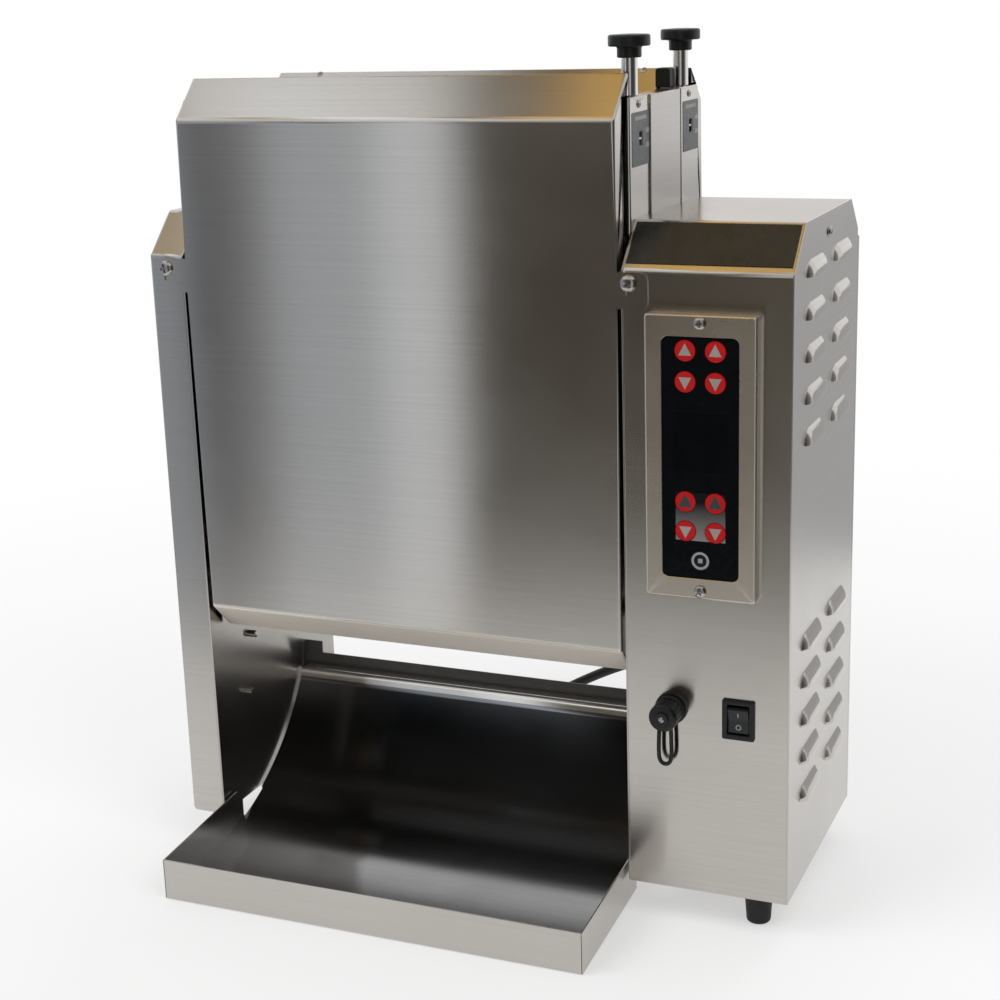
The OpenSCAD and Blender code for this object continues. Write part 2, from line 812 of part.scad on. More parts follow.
// Adjusters and scales
module scale_bracket(y) {
    difference() {
        union() {
            translate([bay_r - sheet_t, y, bracket_low]) cube([sheet_t, bracket_w, end_top - bracket_low]);
            translate([bay_r - bracket_flange, y, bracket_low])
                cube([bracket_flange, sheet_t, end_top - bracket_low]);
            for (z = [bracket_low, end_top - sheet_t]) {
                translate([bay_r - bracket_reach, y, z]) cube([bracket_reach, bracket_w, sheet_t]);
            }
        }
        translate([rod_x, y + rod_inset, bracket_low - 1])
            cylinder(h = end_top - bracket_low + 2, r = thread_d / 2 + run_gap);
        translate([bay_r - sheet_t - 1, y + rod_inset - window_w / 2, label_z - window_h / 2])
            cube([sheet_t + 2, window_w, window_h]);
        translate([bay_r - sheet_t - 1, y + rod_inset - small_screw_offset, end_top - label_top_gap / 2])
            rotate([0, 90, 0]) cylinder(h = sheet_t + 2, r = screw_hole_r);
    }
}
module front_scale_bracket() {
    color(steel) machine() scale_bracket(front_bracket_y);
}
module rear_scale_bracket() {
    color(steel) machine() scale_bracket(rear_bracket_y);
}
module scale_labels() {
    color("#50545a") machine() for (y = [front_rod_y, rear_rod_y]) {
        translate([bay_r, y, label_z]) along_x(0, label_t) difference() {
            round_rect(label_w, label_h, 1.5);
            square([window_w, window_h], center = true);
        }
    }
}
module adjuster_screw(y) {
    rod_low = end_top + fit_gap;
    color(bright_steel) machine() translate([rod_x, y, 0]) {
        translate([0, 0, bracket_low - 4]) cylinder(h = rod_low - bracket_low + 5, r = thread_d / 2);
        translate([0, 0, rod_low]) cylinder(h = rod_len, r = rod_d / 2);
    }
}
module front_adjuster_screw() {
    adjuster_screw(front_rod_y);
}
module rear_adjuster_screw() {
    adjuster_screw(rear_rod_y);
}
module adjuster_knob(y) {
    rim = knob_d / 2;
    top = hub_h + disc_h;
    color(black_plastic) machine() translate([rod_x, y, end_top + fit_gap + rod_len])
        rotate_extrude() polygon([
            [0, 0], [hub_r - 1, 0], [hub_r, 1], [hub_r, hub_h - 2], [hub_r + 1.5, hub_h - 0.5],
            [rim - 1, hub_h], [rim, hub_h + 1], [rim, top - 1.5], [rim - 1.5, top], [0, top + 0.6]
        ]);
}
module front_adjuster_knob() {
    adjuster_knob(front_rod_y);
}
module rear_adjuster_knob() {
    adjuster_knob(rear_rod_y);
}
// The nut climbs the thread; its pin works the carriage and its arm shows in the scale window
module pointer_nut(y) {
    nut_l = rod_x - (plate_r_x + plate_t) - 1.5;
    nut_r = bay_r - sheet_t - rod_x - 0.8;
    arm_x = thread_d / 2 + 0.4;
    arm_w = window_w - 3;
    color(plated) machine() translate([rod_x, y, nut_z]) difference() {
        union() {
            translate([-nut_l, -nut_w / 2, -nut_h / 2]) cube([nut_l + nut_r, nut_w, nut_h]);
            rod_along_x(-nut_l - plate_t - 1.8, 0, 0, plate_t + 2.8, pin_r);
            translate([arm_x, -arm_w / 2, 0]) cube([nut_r - arm_x, arm_w, nut_drop + pointer_t / 2]);
            translate([nut_r - 0.5, -arm_w / 2, nut_drop - pointer_t / 2])
                cube([sheet_t + 1.1, arm_w, pointer_t]);
        }
        translate([0, 0, -nut_h]) cylinder(h = 2 * nut_h, r = thread_d / 2 + run_gap);
    }
}
module front_pointer_nut() {
    pointer_nut(front_rod_y);
}
module rear_pointer_nut() {
    pointer_nut(rear_rod_y);
}

// Heated platen
module platen_plate() {
    face_y = mid_y - platen_t / 2;
    color(cast_alloy) along_x(bay_l + platen_l, bay_w - 2 * platen_l) polygon([
        [face_y, platen_low], [face_y, platen_high - 2 * platen_lead], [face_y + platen_lead, platen_high],
        [face_y + platen_plate_t, platen_high], [face_y + platen_plate_t, platen_low]
    ]);
}
module platen_front() {
    machine() platen_plate();
}
module platen_rear() {
    machine() to_rear() platen_plate();
}
// One tube folded into level runs between the plates
module heating_element() {
    run_x = bay_l + platen_l + 2 * element_margin;
    run_w = bay_w - 2 * platen_l - 4 * element_margin;
    step = (platen_high - platen_low - 2 * element_margin) / (element_runs - 1);
    color(dark_steel) machine() translate([0, mid_y, platen_low + element_margin]) {
        for (i = [0:element_runs - 1]) {
            rod_along_x(run_x, 0, i * step, run_w, element_r);
        }
        for (i = [0:element_runs - 2]) {
            translate([i % 2 == 0 ? run_x + run_w : run_x, 0, (i + 0.5) * step])
                rotate([90, i % 2 == 0 ? -90 : 90, 0])
                    rotate_extrude(angle = 180) translate([step / 2, 0]) circle(element_r);
        }
    }
}
module platen_brackets() {
    color(plated) machine()
        for (x = [bay_l, bay_r - platen_l], z = [platen_low + bracket_z_gap, platen_high - bracket_z_gap]) {
            translate([x, mid_y - platen_t / 2 + 2, z - bracket_block_h / 2])
                cube([platen_l, platen_t - 4, bracket_block_h]);
        }
}
module bun_guide() {
    back = left_tongue_inset;
    tip = back + guide_reach;
    tip_z = guide_top - guide_fall;
    along_x(bay_l, bay_w - guide_clear) polygon(band([
        [back, guide_top - guide_back_h], [back, guide_top], [tip, tip_z], [tip, tip_z - guide_tip_h]
    ], sheet_t));
}
module bun_guides() {
    color(steel) machine() {
        bun_guide();
        to_rear() bun_guide();
    }
}
// Moulded stop that stands on the rear scale bracket, at the end of the rear guide
module rear_guide_stop() {
    stop_x = bay_r - bracket_reach - stop_overhang;
    color(black_plastic) machine() along_y(rear_bracket_y + stop_inset, stop_d) polygon([
        [stop_x, end_top], [stop_x, end_top + stop_h - stop_edge], [stop_x + stop_edge, end_top + stop_h],
        [stop_x + stop_w - stop_edge, end_top + stop_h], [stop_x + stop_w, end_top + stop_h - stop_edge],
        [stop_x + stop_w, end_top]
    ]);
}

// Belt conveyors: the carriage tilts about the drive shaft
module slot_cut(y, z, reach, r) {
    length = 2 * reach * sqrt(2);
    translate([0, y, z]) rotate([-45, 0, 0]) {
        for (s = [-1, 1]) {
            rod_along_x(-1, 0, s * length / 2, plate_t + 2, r);
        }
        translate([-1, -r, -length / 2]) cube([plate_t + 2, 2 * r, length]);
    }
}
module carriage_plate(x) {
    translate([x, roller_y, 0]) {
        translate([0, -plate_w / 2, drive_z]) cube([plate_t, plate_w, idler_z - drive_z]);
        for (z = [drive_z, idler_z]) {
            rod_along_x(0, 0, z, plate_t, plate_w / 2);
        }
    }
}
module carriage(pin_y) {
    color(plated) difference() {
        union() {
            carriage_plate(plate_l_x);
            carriage_plate(plate_r_x);
            for (z = [drive_z + tie_inset, idler_z - tie_inset]) {
                rod_along_x(plate_l_x, roller_y, z, plate_r_x - plate_l_x + plate_t, tie_r);
            }
        }
        rod_along_x(plate_l_x - 1, roller_y, drive_z, bay_w, drive_shaft_r + run_gap);
        rod_along_x(plate_l_x - 1, roller_y, idler_z, bay_w, idler_shaft_r + run_gap);
        translate([plate_r_x, 0, 0]) slot_cut(pin_y, nut_z, pointer_travel, pin_r + fit_gap);
    }
}
module front_carriage() {
    machine() carriage(front_rod_y);
}
module rear_carriage() {
    machine() to_rear() carriage(body_d - rear_rod_y);
}
module roller(z, shaft_r, shaft_x, shaft_end) {
    color(plated) union() {
        rod_along_x(belt_x - roller_overhang, roller_y, z, belt_w + 2 * roller_overhang, roller_r);
        rod_along_x(shaft_x, roller_y, z, shaft_end - shaft_x, shaft_r);
    }
}
module drive_roller() {
    roller(drive_z, drive_shaft_r, bay_l - bush_l - 2, bay_r + frame_t + gearbox_l - 8);
}
module idler_roller() {
    roller(idler_z, idler_shaft_r, plate_l_x - 1.5, plate_r_x + plate_t + 1.5);
}
module front_drive_roller() {
    machine() drive_roller();
}
module rear_drive_roller() {
    machine() to_rear() drive_roller();
}
module front_idler_roller() {
    machine() idler_roller();
}
module rear_idler_roller() {
    machine() to_rear() idler_roller();
}
module loop_form(x, w, r) {
    for (z = [drive_z, idler_z]) {
        rod_along_x(x, roller_y, z, w, r);
    }
    translate([x, roller_y - r, drive_z]) cube([w, 2 * r, idler_z - drive_z]);
}
module belt() {
    color(brown_belt) difference() {
        loop_form(belt_x, belt_w, roller_r + fit_gap + belt_t);
        loop_form(belt_x - 1, belt_w + 2, roller_r + fit_gap);
    }
}
module front_belt() {
    machine() belt();
}
module rear_belt() {
    machine() to_rear() belt();
}
module shaft_bush(x, y, side) {
    difference() {
        union() {
            rod_along_x(side > 0 ? x - bush_flange_t : x, y, drive_z, bush_flange_t, bush_flange_r);
            rod_along_x(side > 0 ? x : x - bush_l, y, drive_z, bush_l, bush_r);
        }
        rod_along_x(x - 2 * bush_l, y, drive_z, 4 * bush_l, drive_shaft_r + run_gap);
    }
}
module shaft_bushes() {
    color("#b08d57") machine() for (y = [roller_y, body_d - roller_y]) {
        shaft_bush(bay_l, y, -1);
        shaft_bush(bay_r, y, 1);
    }
}
module gearmotor() {
    start = bay_r + frame_t;
    color(dark_steel) difference() {
        union() {
            translate([start, roller_y - gearbox_w / 2, drive_z - gearbox_w / 2])
                cube([gearbox_l, gearbox_w, gearbox_w]);
            rod_along_x(start + gearbox_l, roller_y, drive_z, motor_l, motor_r);
        }
        rod_along_x(start - 1, roller_y, drive_z, gearbox_l - 6, drive_shaft_r + run_gap);
        rod_along_x(start - 1, roller_y, drive_z, bush_l + 1, bush_r + seat_gap);
    }
}
module front_gearmotor() {
    machine() gearmotor();
}
module rear_gearmotor() {
    machine() to_rear() gearmotor();
}

// Chute and its rear bar
module chute_arc(x, w, from, to) {
    translate([x, chute_cy, chute_cz]) rotate([0, 90, 0]) rotate([0, 0, from])
        rotate_extrude(angle = to - from, $fn = 256) translate([chute_r, 0]) square([chute_t, w]);
}
module bun_chute() {
    tangent_y = chute_cy + chute_r * sin(chute_front_slope);
    tangent_z = chute_cz - chute_r * cos(chute_front_slope);
    front_y = -chute_reach;
    front_z = tangent_z - (tangent_y - front_y) * tan(chute_front_slope);
    back_rise = (wall_back + chute_reach) * tan(chute_front_slope);
    wall = [
        [front_y, chute_lift], [front_y, apron_h], [wall_back - 8, apron_h + back_rise],
        [wall_back, apron_h + back_rise - 8], [wall_back, chute_lift + back_rise]
    ];
    root_r = chute_r + chute_t / 2;
    root_a = chute_end_slope - lip_root;
    root = [chute_cy + root_r * sin(root_a), chute_cz - root_r * cos(root_a)];
    lip_low = chute_top - chute_t;
    lip_end = chute_back + lip_l;
    lip = [
        [chute_back, chute_top], [lip_end, chute_top], [lip_end, lip_low], [chute_back + chute_t, lip_low], root
    ];
    color(steel) machine() {
        translate([wall_x, front_y, chute_lift]) cube([wall_w, chute_t, apron_h - chute_lift]);
        for (x = [wall_x, wall_x + wall_w - chute_t]) {
            along_x(x, chute_t) polygon(wall);
        }
        along_x(wall_x, wall_w) polygon(band([[front_y, front_z], [tangent_y, tangent_z]], chute_t));
        difference() {
            chute_arc(wall_x, wall_w, chute_front_slope, chute_end_slope);
            for (x = [wall_x - 1, floor_x + floor_w]) {
                translate([x, wall_back, 0]) cube([floor_gap - wall_gap + 1, body_d, chute_top + 10]);
            }
        }
        along_x(floor_x, floor_w) polygon(lip);
    }
}
// An angle bar: the chute's lip rests on its ledge, and its ends rise to ears
module rear_crossbar() {
    low = bar_ledge - bar_t;
    bar_d = bar_face + bar_t - bar_front;
    bar_top = chute_top + bar_rise;
    color(dark_steel) machine() {
        translate([bay_l, bar_front, low]) cube([bay_w, bar_d, bar_t]);
        translate([bay_l, bar_face, low]) cube([bay_w, bar_t, bar_top - low]);
        for (x = [bay_l, bay_r - ear_w]) {
            translate([x, bar_face, low]) cube([ear_w, bar_t, bar_top + ear_h - low]);
        }
        for (x = [bay_l, bay_r - bar_t]) {
            translate([x, bar_front, low]) cube([bar_t, bar_d, bar_top + ear_h - low]);
        }
    }
}

// Mains cord
function ring(p, t, r, sides) =
    let (n = unit(cross(t, [0, 0, 1])), b = cross(n, t))
    [for (k = [0:sides - 1]) p + r * (cos(360 * k / sides) * n + sin(360 * k / sides) * b)];
function heading(path, i) = unit(path[min(i + 1, len(path) - 1)] - path[max(i - 1, 0)]);
module tube(path, r, sides) {
    last = len(path) - 1;
    points = [for (i = [0:last]) each ring(path[i], heading(path, i), r, sides)];
    walls = [
        for (i = [0:last - 1], k = [0:sides - 1])
            let (a = i * sides + k, b = i * sides + (k + 1) % sides)
            each [[a, b, a + sides], [b, b + sides, a + sides]]
    ];
    start_cap = [for (k = [1:sides - 2]) [0, k + 1, k]];
    end_cap = [for (k = [1:sides - 2]) [last * sides, last * sides + k, last * sides + k + 1]];
    polyhedron(points, concat(walls, start_cap, end_cap));
}
// The coil spirals in on the table, climbs one layer and spirals out again
function eased(t) = t * t * (3 - 2 * t);
function coil_point(turn) =
    let (
        from_middle = turn - coil_turns / 2,
        r = coil_in + coil_step * abs(from_middle),
        climb = eased(min(max((from_middle + 0.25) / 0.5, 0), 1)),
        a = -90 - 360 * turn
    )
    [coil_x + r * cos(a), coil_y + r * sin(a), cord_d / 2 + coil_lift * climb];
coil_loops = [for (i = [0:coil_turns * coil_rings]) coil_point(i / coil_rings)];
coil_end = coil_point(coil_turns);
coil_path = concat(
    [coil_loops[0] + [cord_d, 0, 0]], coil_loops, [coil_end + [cord_d, 0, 0], coil_end + [coil_tail, 0, 0]]
);
coil_apart = 6;
coil_gap = min([
    for (i = [0:len(coil_loops) - 1], j = [i + coil_apart:1:len(coil_loops) - 1])
        norm(coil_loops[i] - coil_loops[j])
]) - cord_d;
function path_length(p, i = 1) = i < len(p) ? norm(p[i] - p[i - 1]) + path_length(p, i + 1) : 0;

module cord_gland() {
    color(black_plastic) machine() translate([gland_x, body_d, gland_z]) {
        rod_along_y(0, -gland_inner_l, 0, gland_inner_l, gland_inner_r);
        along_y(0, gland_nut_l) circle(gland_nut_r, $fn = 6);
        translate([0, gland_nut_l, 0]) rotate([-90, 0, 0])
            cylinder(h = gland_cone_l, r1 = gland_inner_r + 1, r2 = cord_d / 2 + 1.2);
    }
}
module cord() {
    color(black_plastic) machine() tube(cord_route, cord_d / 2, cord_sides);
}
module cord_coil() {
    echo(coil_self_gap = coil_gap, cord_length = path_length(cord_route) + path_length(coil_path));
    color(black_plastic) machine() tube(coil_path, cord_d / 2, coil_sides);
}
module cord_plug() {
    pin_l = 18;
    color(black_plastic) machine() translate(coil_end + [coil_tail, 0, 0]) {
        rotate([0, 90, 0]) rotate_extrude() polygon([
            [0, 0], [cord_d / 2 + 1.5, 0], [plug_r - 4, plug_l * 0.35], [plug_r, plug_l * 0.5],
            [plug_r, plug_l], [0, plug_l]
        ]);
        for (s = [-1, 1]) {
            translate([plug_l, s * 6.35 - 0.75, 1]) cube([pin_l, 1.5, 6.3]);
        }
        rod_along_x(plug_l, 0, -7, pin_l + 2, 2.4);
    }
}

left_side_frame();
right_side_frame();
left_post_shell();
control_box_shell();
side_panel();
badge_plate();
front_cover();
rear_cover();
panel_screws();
keypad_bezel();
keypad_overlay();
display_window();
key_upper_left_up();
key_upper_right_up();
key_upper_left_down();
key_upper_right_down();
key_lower_left_up();
key_lower_right_up();
key_lower_left_down();
key_lower_right_down();
key_start();
control_board();
rocker_housing();
rocker_paddle();
port_body();
port_cap();
cap_tether();
feet();
front_scale_bracket();
rear_scale_bracket();
scale_labels();
front_adjuster_screw();
front_adjuster_knob();
rear_adjuster_screw();
rear_adjuster_knob();
front_pointer_nut();
rear_pointer_nut();
rear_guide_stop();
platen_front();
platen_rear();
heating_element();
platen_brackets();
bun_guides();
front_carriage();
rear_carriage();
front_drive_roller();
rear_drive_roller();
front_idler_roller();
rear_idler_roller();
front_belt();
rear_belt();
shaft_bushes();
front_gearmotor();
rear_gearmotor();
bun_chute();
rear_crossbar();
cord_gland();
cord();
cord_coil();
cord_plug();
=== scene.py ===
import bmesh
import bpy
import json
from math import acos, atan2, cos, pi, radians, sin, tan
from mathutils import Matrix, Vector


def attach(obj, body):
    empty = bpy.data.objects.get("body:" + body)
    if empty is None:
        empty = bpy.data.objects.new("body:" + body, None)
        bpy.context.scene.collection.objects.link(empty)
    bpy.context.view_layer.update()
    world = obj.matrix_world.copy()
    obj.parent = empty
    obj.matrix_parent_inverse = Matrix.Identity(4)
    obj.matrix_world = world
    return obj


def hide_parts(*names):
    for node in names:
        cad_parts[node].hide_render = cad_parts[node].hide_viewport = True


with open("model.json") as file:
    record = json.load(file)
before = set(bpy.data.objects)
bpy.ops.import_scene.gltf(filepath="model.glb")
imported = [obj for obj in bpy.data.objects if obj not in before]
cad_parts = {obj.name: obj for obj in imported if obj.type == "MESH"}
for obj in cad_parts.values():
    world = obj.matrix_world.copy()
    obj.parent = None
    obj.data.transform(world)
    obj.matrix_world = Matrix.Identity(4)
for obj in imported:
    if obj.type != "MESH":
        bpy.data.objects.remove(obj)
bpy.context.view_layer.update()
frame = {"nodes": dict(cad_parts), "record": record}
nodes = frame["nodes"]
scene = bpy.context.scene
scene.view_settings.view_transform = "Standard"

machineOrigin = Vector((266.75, 56.7, 0))  # the frame's origin, from the left post, the case front and the table


def place(x, y, z):  # machine millimetres to frame metres
    return (Vector((x, y, z)) - machineOrigin) * 0.001


def mm(value):
    return value * 0.001


ahead, behind, right, up = (0, -1, 0), (0, 1, 0), (1, 0, 0), (0, 0, 1)


# camera at the photograph's angle
cameraValues = {
    "position": (0.57049, -1.31161, 0.71482),
    "right": (0.9222, 0.3855, -0.0308),
    "up": (-0.0762, 0.2591, 0.9628),
    "back": (0.3792, -0.8855, 0.2684),
    "lens": 66.33, "sensor": 36, "reach": 200,
}


def addCamera(v):
    bpy.ops.object.camera_add()
    camera = bpy.context.object
    camera.name = "productCamera"
    turn = Matrix((v["right"], v["up"], v["back"])).transposed().to_4x4()
    turn.translation = v["position"]
    camera.matrix_world = turn
    camera.data.lens = v["lens"]
    camera.data.sensor_width = v["sensor"]
    camera.data.clip_end = v["reach"]
    scene.camera = camera


addCamera(cameraValues)
print("camera placed")


# handling helpers
nodeWeld, spinWeld, sliver, least = mm(0.004), mm(0.005), mm(0.002), mm(0.001)  # lengths that count as none
broad, thin, foldLength = mm(3.5), mm(2), mm(25)  # widths of faces, and the length of a fold
flatAngle, foldAngle, cutAngle, cornerAngle = radians(0.4), 0.3, 1.2, 0.5  # between two faces


def dropAll():
    if bpy.context.object and bpy.context.object.mode != "OBJECT":
        bpy.ops.object.mode_set(mode="OBJECT")
    bpy.ops.object.select_all(action="DESELECT")


def takeUp(piece):
    dropAll()
    piece.select_set(True)
    bpy.context.view_layer.objects.active = piece


def openMesh(piece, kind="FACE", action="SELECT"):
    takeUp(piece)
    bpy.ops.object.mode_set(mode="EDIT")
    bpy.ops.mesh.select_mode(type=kind)
    bpy.ops.mesh.select_all(action=action)


def faceOut():  # turns the open mesh's normals outwards and closes it
    bpy.ops.mesh.select_all(action="SELECT")
    bpy.ops.mesh.normals_make_consistent(inside=False)
    bpy.ops.object.mode_set(mode="OBJECT")


def easeEdges(piece, wanted, width, segments, clamp=True):
    openMesh(piece, "EDGE", "DESELECT")
    form = bmesh.from_edit_mesh(piece.data)
    for edge in form.edges:
        edge.select_set(len(edge.link_faces) == 2 and wanted(edge))
    bmesh.update_edit_mesh(piece.data)
    if any(edge.select for edge in form.edges):
        bpy.ops.mesh.bevel(offset=mm(width), segments=segments, profile=0.5, affect="EDGES", clamp_overlap=clamp)
    bpy.ops.object.mode_set(mode="OBJECT")


def applyModifier(piece, kind, **values):
    takeUp(piece)
    modifier = piece.modifiers.new(kind.lower(), kind)
    for key, value in values.items():
        setattr(modifier, key, value)
    bpy.ops.object.modifier_apply(modifier=modifier.name)


def settleNormals(piece, angle=38):
    takeUp(piece)
    bpy.ops.object.shade_smooth_by_angle(angle=radians(angle))
    applyModifier(piece, "WEIGHTED_NORMAL", keep_sharp=True, weight=100)


def settleFlats(piece, angle=38):  # broad faces stay flat, bends and eased edges are smooth
    openMesh(piece)
    bpy.ops.mesh.dissolve_degenerate(threshold=sliver)
    bpy.ops.object.mode_set(mode="OBJECT")
    bpy.ops.object.shade_smooth_by_angle(angle=radians(angle))
    form = bmesh.new()
    form.from_mesh(piece.data)
    for face in form.faces:
        if narrowWidth(face) > broad:
            face.smooth = False
    form.to_mesh(piece.data)
    form.free()


def settlePlace(piece):  # leaves the object at the origin, unturned and unscaled
    takeUp(piece)
    bpy.ops.object.transform_apply(location=True, rotation=True, scale=True)


def joinPieces(name, parts):
    dropAll()
    for part in parts:
        part.select_set(True)
    bpy.context.view_layer.objects.active = parts[0]
    bpy.ops.object.join()
    parts[0].name = name
    parts[0].data.name = name
    return parts[0]


def linkPiece(name, mesh):
    piece = bpy.data.objects.new(name, mesh)
    scene.collection.objects.link(piece)
    return piece


def newPiece(name, points, edges, faces):
    mesh = bpy.data.meshes.new(name)
    mesh.from_pydata(points, edges, faces)
    return linkPiece(name, mesh)


def copyTo(template, name, matrix):  # a copy with a mesh of its own, placed in its vertices
    piece = linkPiece(name, template.data.copy())
    piece.data.transform(matrix)
    return piece


def discard(piece):
    bpy.data.objects.remove(piece, do_unlink=True)


def cutAway(piece, cutter):
    applyModifier(piece, "BOOLEAN", operation="DIFFERENCE", object=cutter, solver="EXACT")
    discard(cutter)


def turnAbout(point, angle, axis):
    return Matrix.Translation(point) @ Matrix.Rotation(angle, 4, axis) @ Matrix.Translation(-point)


def narrowWidth(face):  # nearly the width of a long face
    outline = sum(edge.calc_length() for edge in face.edges)
    return 2 * face.calc_area() / max(outline, least)


def isFold(edge):  # a long convex corner between two broad faces
    narrower = min(narrowWidth(face) for face in edge.link_faces)
    return narrower > broad and edge.calc_face_angle_signed(0) > foldAngle and edge.calc_length() > foldLength


def isSheetEdge(edge):  # a convex corner of a sheet's own thickness
    narrower = min(narrowWidth(face) for face in edge.link_faces)
    return narrower < thin and edge.calc_face_angle_signed(0) > cutAngle


def isCorner(edge):
    return edge.calc_face_angle_signed(0) > cornerAngle


def copyNode(node, name):  # a CAD solid as a clean mesh
    piece = linkPiece(name, nodes[node].data.copy())
    piece.data.name = name
    openMesh(piece)
    bpy.ops.mesh.customdata_custom_splitnormals_clear()
    bpy.ops.mesh.remove_doubles(threshold=nodeWeld)
    bpy.ops.mesh.dissolve_limited(angle_limit=flatAngle)
    faceOut()
    return piece


def bodyOf(node):
    return next(body for body, held in frame["record"]["behaviour"]["bodies"].items() if node in held)


def paint(piece, finish):
    piece.data.materials.clear()
    piece.data.materials.append(finishes[finish])
    return piece


def settle(piece, finish, node=None, body=None):
    if finish:
        paint(piece, finish)
    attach(piece, body or bodyOf(node))
    if node:
        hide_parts(node)
    return piece


def turnProfile(name, profile, centre, axis, steps, angle=None):
    # spins a chain of (radius, height) points about the axis through the centre
    axis = Vector(axis).normalized()
    side = axis.orthogonal().normalized()
    chain = [centre + side * mm(r) + axis * mm(h) for r, h in profile]
    piece = newPiece(name, chain, [(i, i + 1) for i in range(len(chain) - 1)], [])
    openMesh(piece, "VERT")
    bpy.ops.mesh.spin(steps=steps, angle=2 * pi, center=centre, axis=axis)
    bpy.ops.mesh.select_all(action="SELECT")
    bpy.ops.mesh.remove_doubles(threshold=spinWeld)
    faceOut()
    if angle:
        settleNormals(piece, angle)
    return piece


def newCube(name, middle, size, turn=0):
    dropAll()
    bpy.ops.mesh.primitive_cube_add(size=1, location=middle)
    piece = bpy.context.object
    piece.name = name
    piece.scale = size
    piece.rotation_euler = (0, 0, radians(turn))
    settlePlace(piece)
    return piece


def block(name, low, high, width, segments=2):  # a box between two machine corners with eased edges
    a, b = place(*low), place(*high)
    piece = newCube(name, (a + b) / 2, b - a)
    easeEdges(piece, lambda edge: True, width, segments)
    settleNormals(piece)
    return piece


def drawOut(name, points, shift):  # a flat outline, extruded along the shift
    piece = newPiece(name, points, [], [tuple(range(len(points)))])
    openMesh(piece)
    bpy.ops.mesh.extrude_region_move(TRANSFORM_OT_translate={"value": shift})
    faceOut()
    return piece


def layTube(name, points, radius, steps, rounding, capped):  # a round line through the points
    dropAll()
    bpy.ops.curve.primitive_bezier_curve_add()
    tube = bpy.context.object
    tube.name = name
    tube.location = (0, 0, 0)
    knots = tube.data.splines[0].bezier_points
    knots.add(len(points) - 2)
    for knot, point in zip(knots, points):
        knot.co = point
        knot.handle_left_type = knot.handle_right_type = "AUTO"
    tube.data.dimensions = "3D"
    tube.data.resolution_u = steps
    tube.data.bevel_depth = radius
    tube.data.bevel_resolution = rounding
    tube.data.use_fill_caps = capped
    return tube


# shader helpers
def feed(tree, node, inputs):  # links each socket, or sets its constant
    for key, value in inputs.items():
        if isinstance(value, bpy.types.NodeSocket):
            tree.links.new(value, node.inputs[key])
        else:
            node.inputs[key].default_value = value
    return node


def addNode(tree, kind, inputs=None, **values):
    node = tree.nodes.new("ShaderNode" + kind)
    for key, value in values.items():
        setattr(node, key, value)
    return feed(tree, node, inputs or {})


def reckon(tree, operation, *operands, kind="Math"):
    return addNode(tree, kind, dict(enumerate(operands)), operation=operation).outputs[0]


def noise(tree, vector, scale, detail, roughness, distortion=0.0):
    return addNode(tree, "TexNoise", {
        "Vector": vector, "Scale": scale, "Detail": detail, "Roughness": roughness, "Distortion": distortion,
    }).outputs["Fac"]


def spread(tree, factor, span, values=(0, 1)):
    return addNode(tree, "MapRange", {
        "Value": factor, "From Min": span[0], "From Max": span[1], "To Min": values[0], "To Max": values[1],
    }).outputs["Result"]


def mixColours(tree, factor, first, second):
    mix = addNode(tree, "Mix", {"Factor": factor}, data_type="RGBA")
    places = [i for i, socket in enumerate(mix.inputs) if socket.type == "RGBA"]
    feed(tree, mix, {places[0]: first, places[1]: second})
    return next(socket for socket in mix.outputs if socket.type == "RGBA")


def ramp(tree, factor, span, low, high):  # a colour that runs between two tones
    return mixColours(tree, spread(tree, factor, span), (*low, 1), (*high, 1))


def bumped(tree, height, strength, depth):
    return addNode(tree, "Bump", {"Height": height, "Strength": strength, "Distance": depth}).outputs["Normal"]


def startMaterial(name):
    material = bpy.data.materials.new(name)
    material.use_nodes = True
    tree = material.node_tree
    return material, tree, tree.nodes["Principled BSDF"], addNode(tree, "TexCoord").outputs["Object"]


# shared shader effects: each gives a tint, wear and a height
def newGroup(name, sizeKind):
    group = bpy.data.node_groups.new(name, "ShaderNodeTree")
    for label, kind in (("Vector", "Vector"), ("Size", sizeKind)):
        group.interface.new_socket(label, in_out="INPUT", socket_type="NodeSocket" + kind)
    for label in ("Tint", "Wear", "Height"):
        group.interface.new_socket(label, in_out="OUTPUT", socket_type="NodeSocketFloat")
    return group, group.nodes.new("NodeGroupInput").outputs, group.nodes.new("NodeGroupOutput")


grainValues = {  # noises: scale, detail, roughness
    "finer": (2.3, 4.1, 4.1), "streak": (1.0, 5.0, 0.65), "fine": (1.0, 2.0, 0.5), "smudge": (9.0, 4.0, 0.6),
}
skinValues = {"dust": (60.0, 6.0, 0.7), "scuff": (260.0, 3.0, 0.5, 0.6)}  # the same, and distortion
noiseSpan = (0.3, 0.7)  # the part of a noise that is used
dustSpan = (0.35, 0.7)


def makeBrushedGrain(v):
    group, given, end = newGroup("brushedGrain", "Vector")
    laid = reckon(group, "MULTIPLY", given["Vector"], given["Size"], kind="VectorMath")
    finer = reckon(group, "MULTIPLY", laid, v["finer"], kind="VectorMath")
    feed(group, end, {
        "Tint": noise(group, laid, *v["streak"]),
        "Wear": noise(group, given["Vector"], *v["smudge"]),
        "Height": noise(group, finer, *v["fine"]),
    })
    return group


def makeMouldedSkin(v):
    group, given, end = newGroup("mouldedSkin", "Float")
    pebbles = {"Vector": given["Vector"], "Scale": given["Size"]}
    feed(group, end, {
        "Tint": noise(group, given["Vector"], *v["dust"]),
        "Wear": noise(group, given["Vector"], *v["scuff"]),
        "Height": addNode(group, "TexVoronoi", pebbles, feature="SMOOTH_F1").outputs["Distance"],
    })
    return group


brushedGrain = makeBrushedGrain(grainValues)
mouldedSkin = makeMouldedSkin(skinValues)


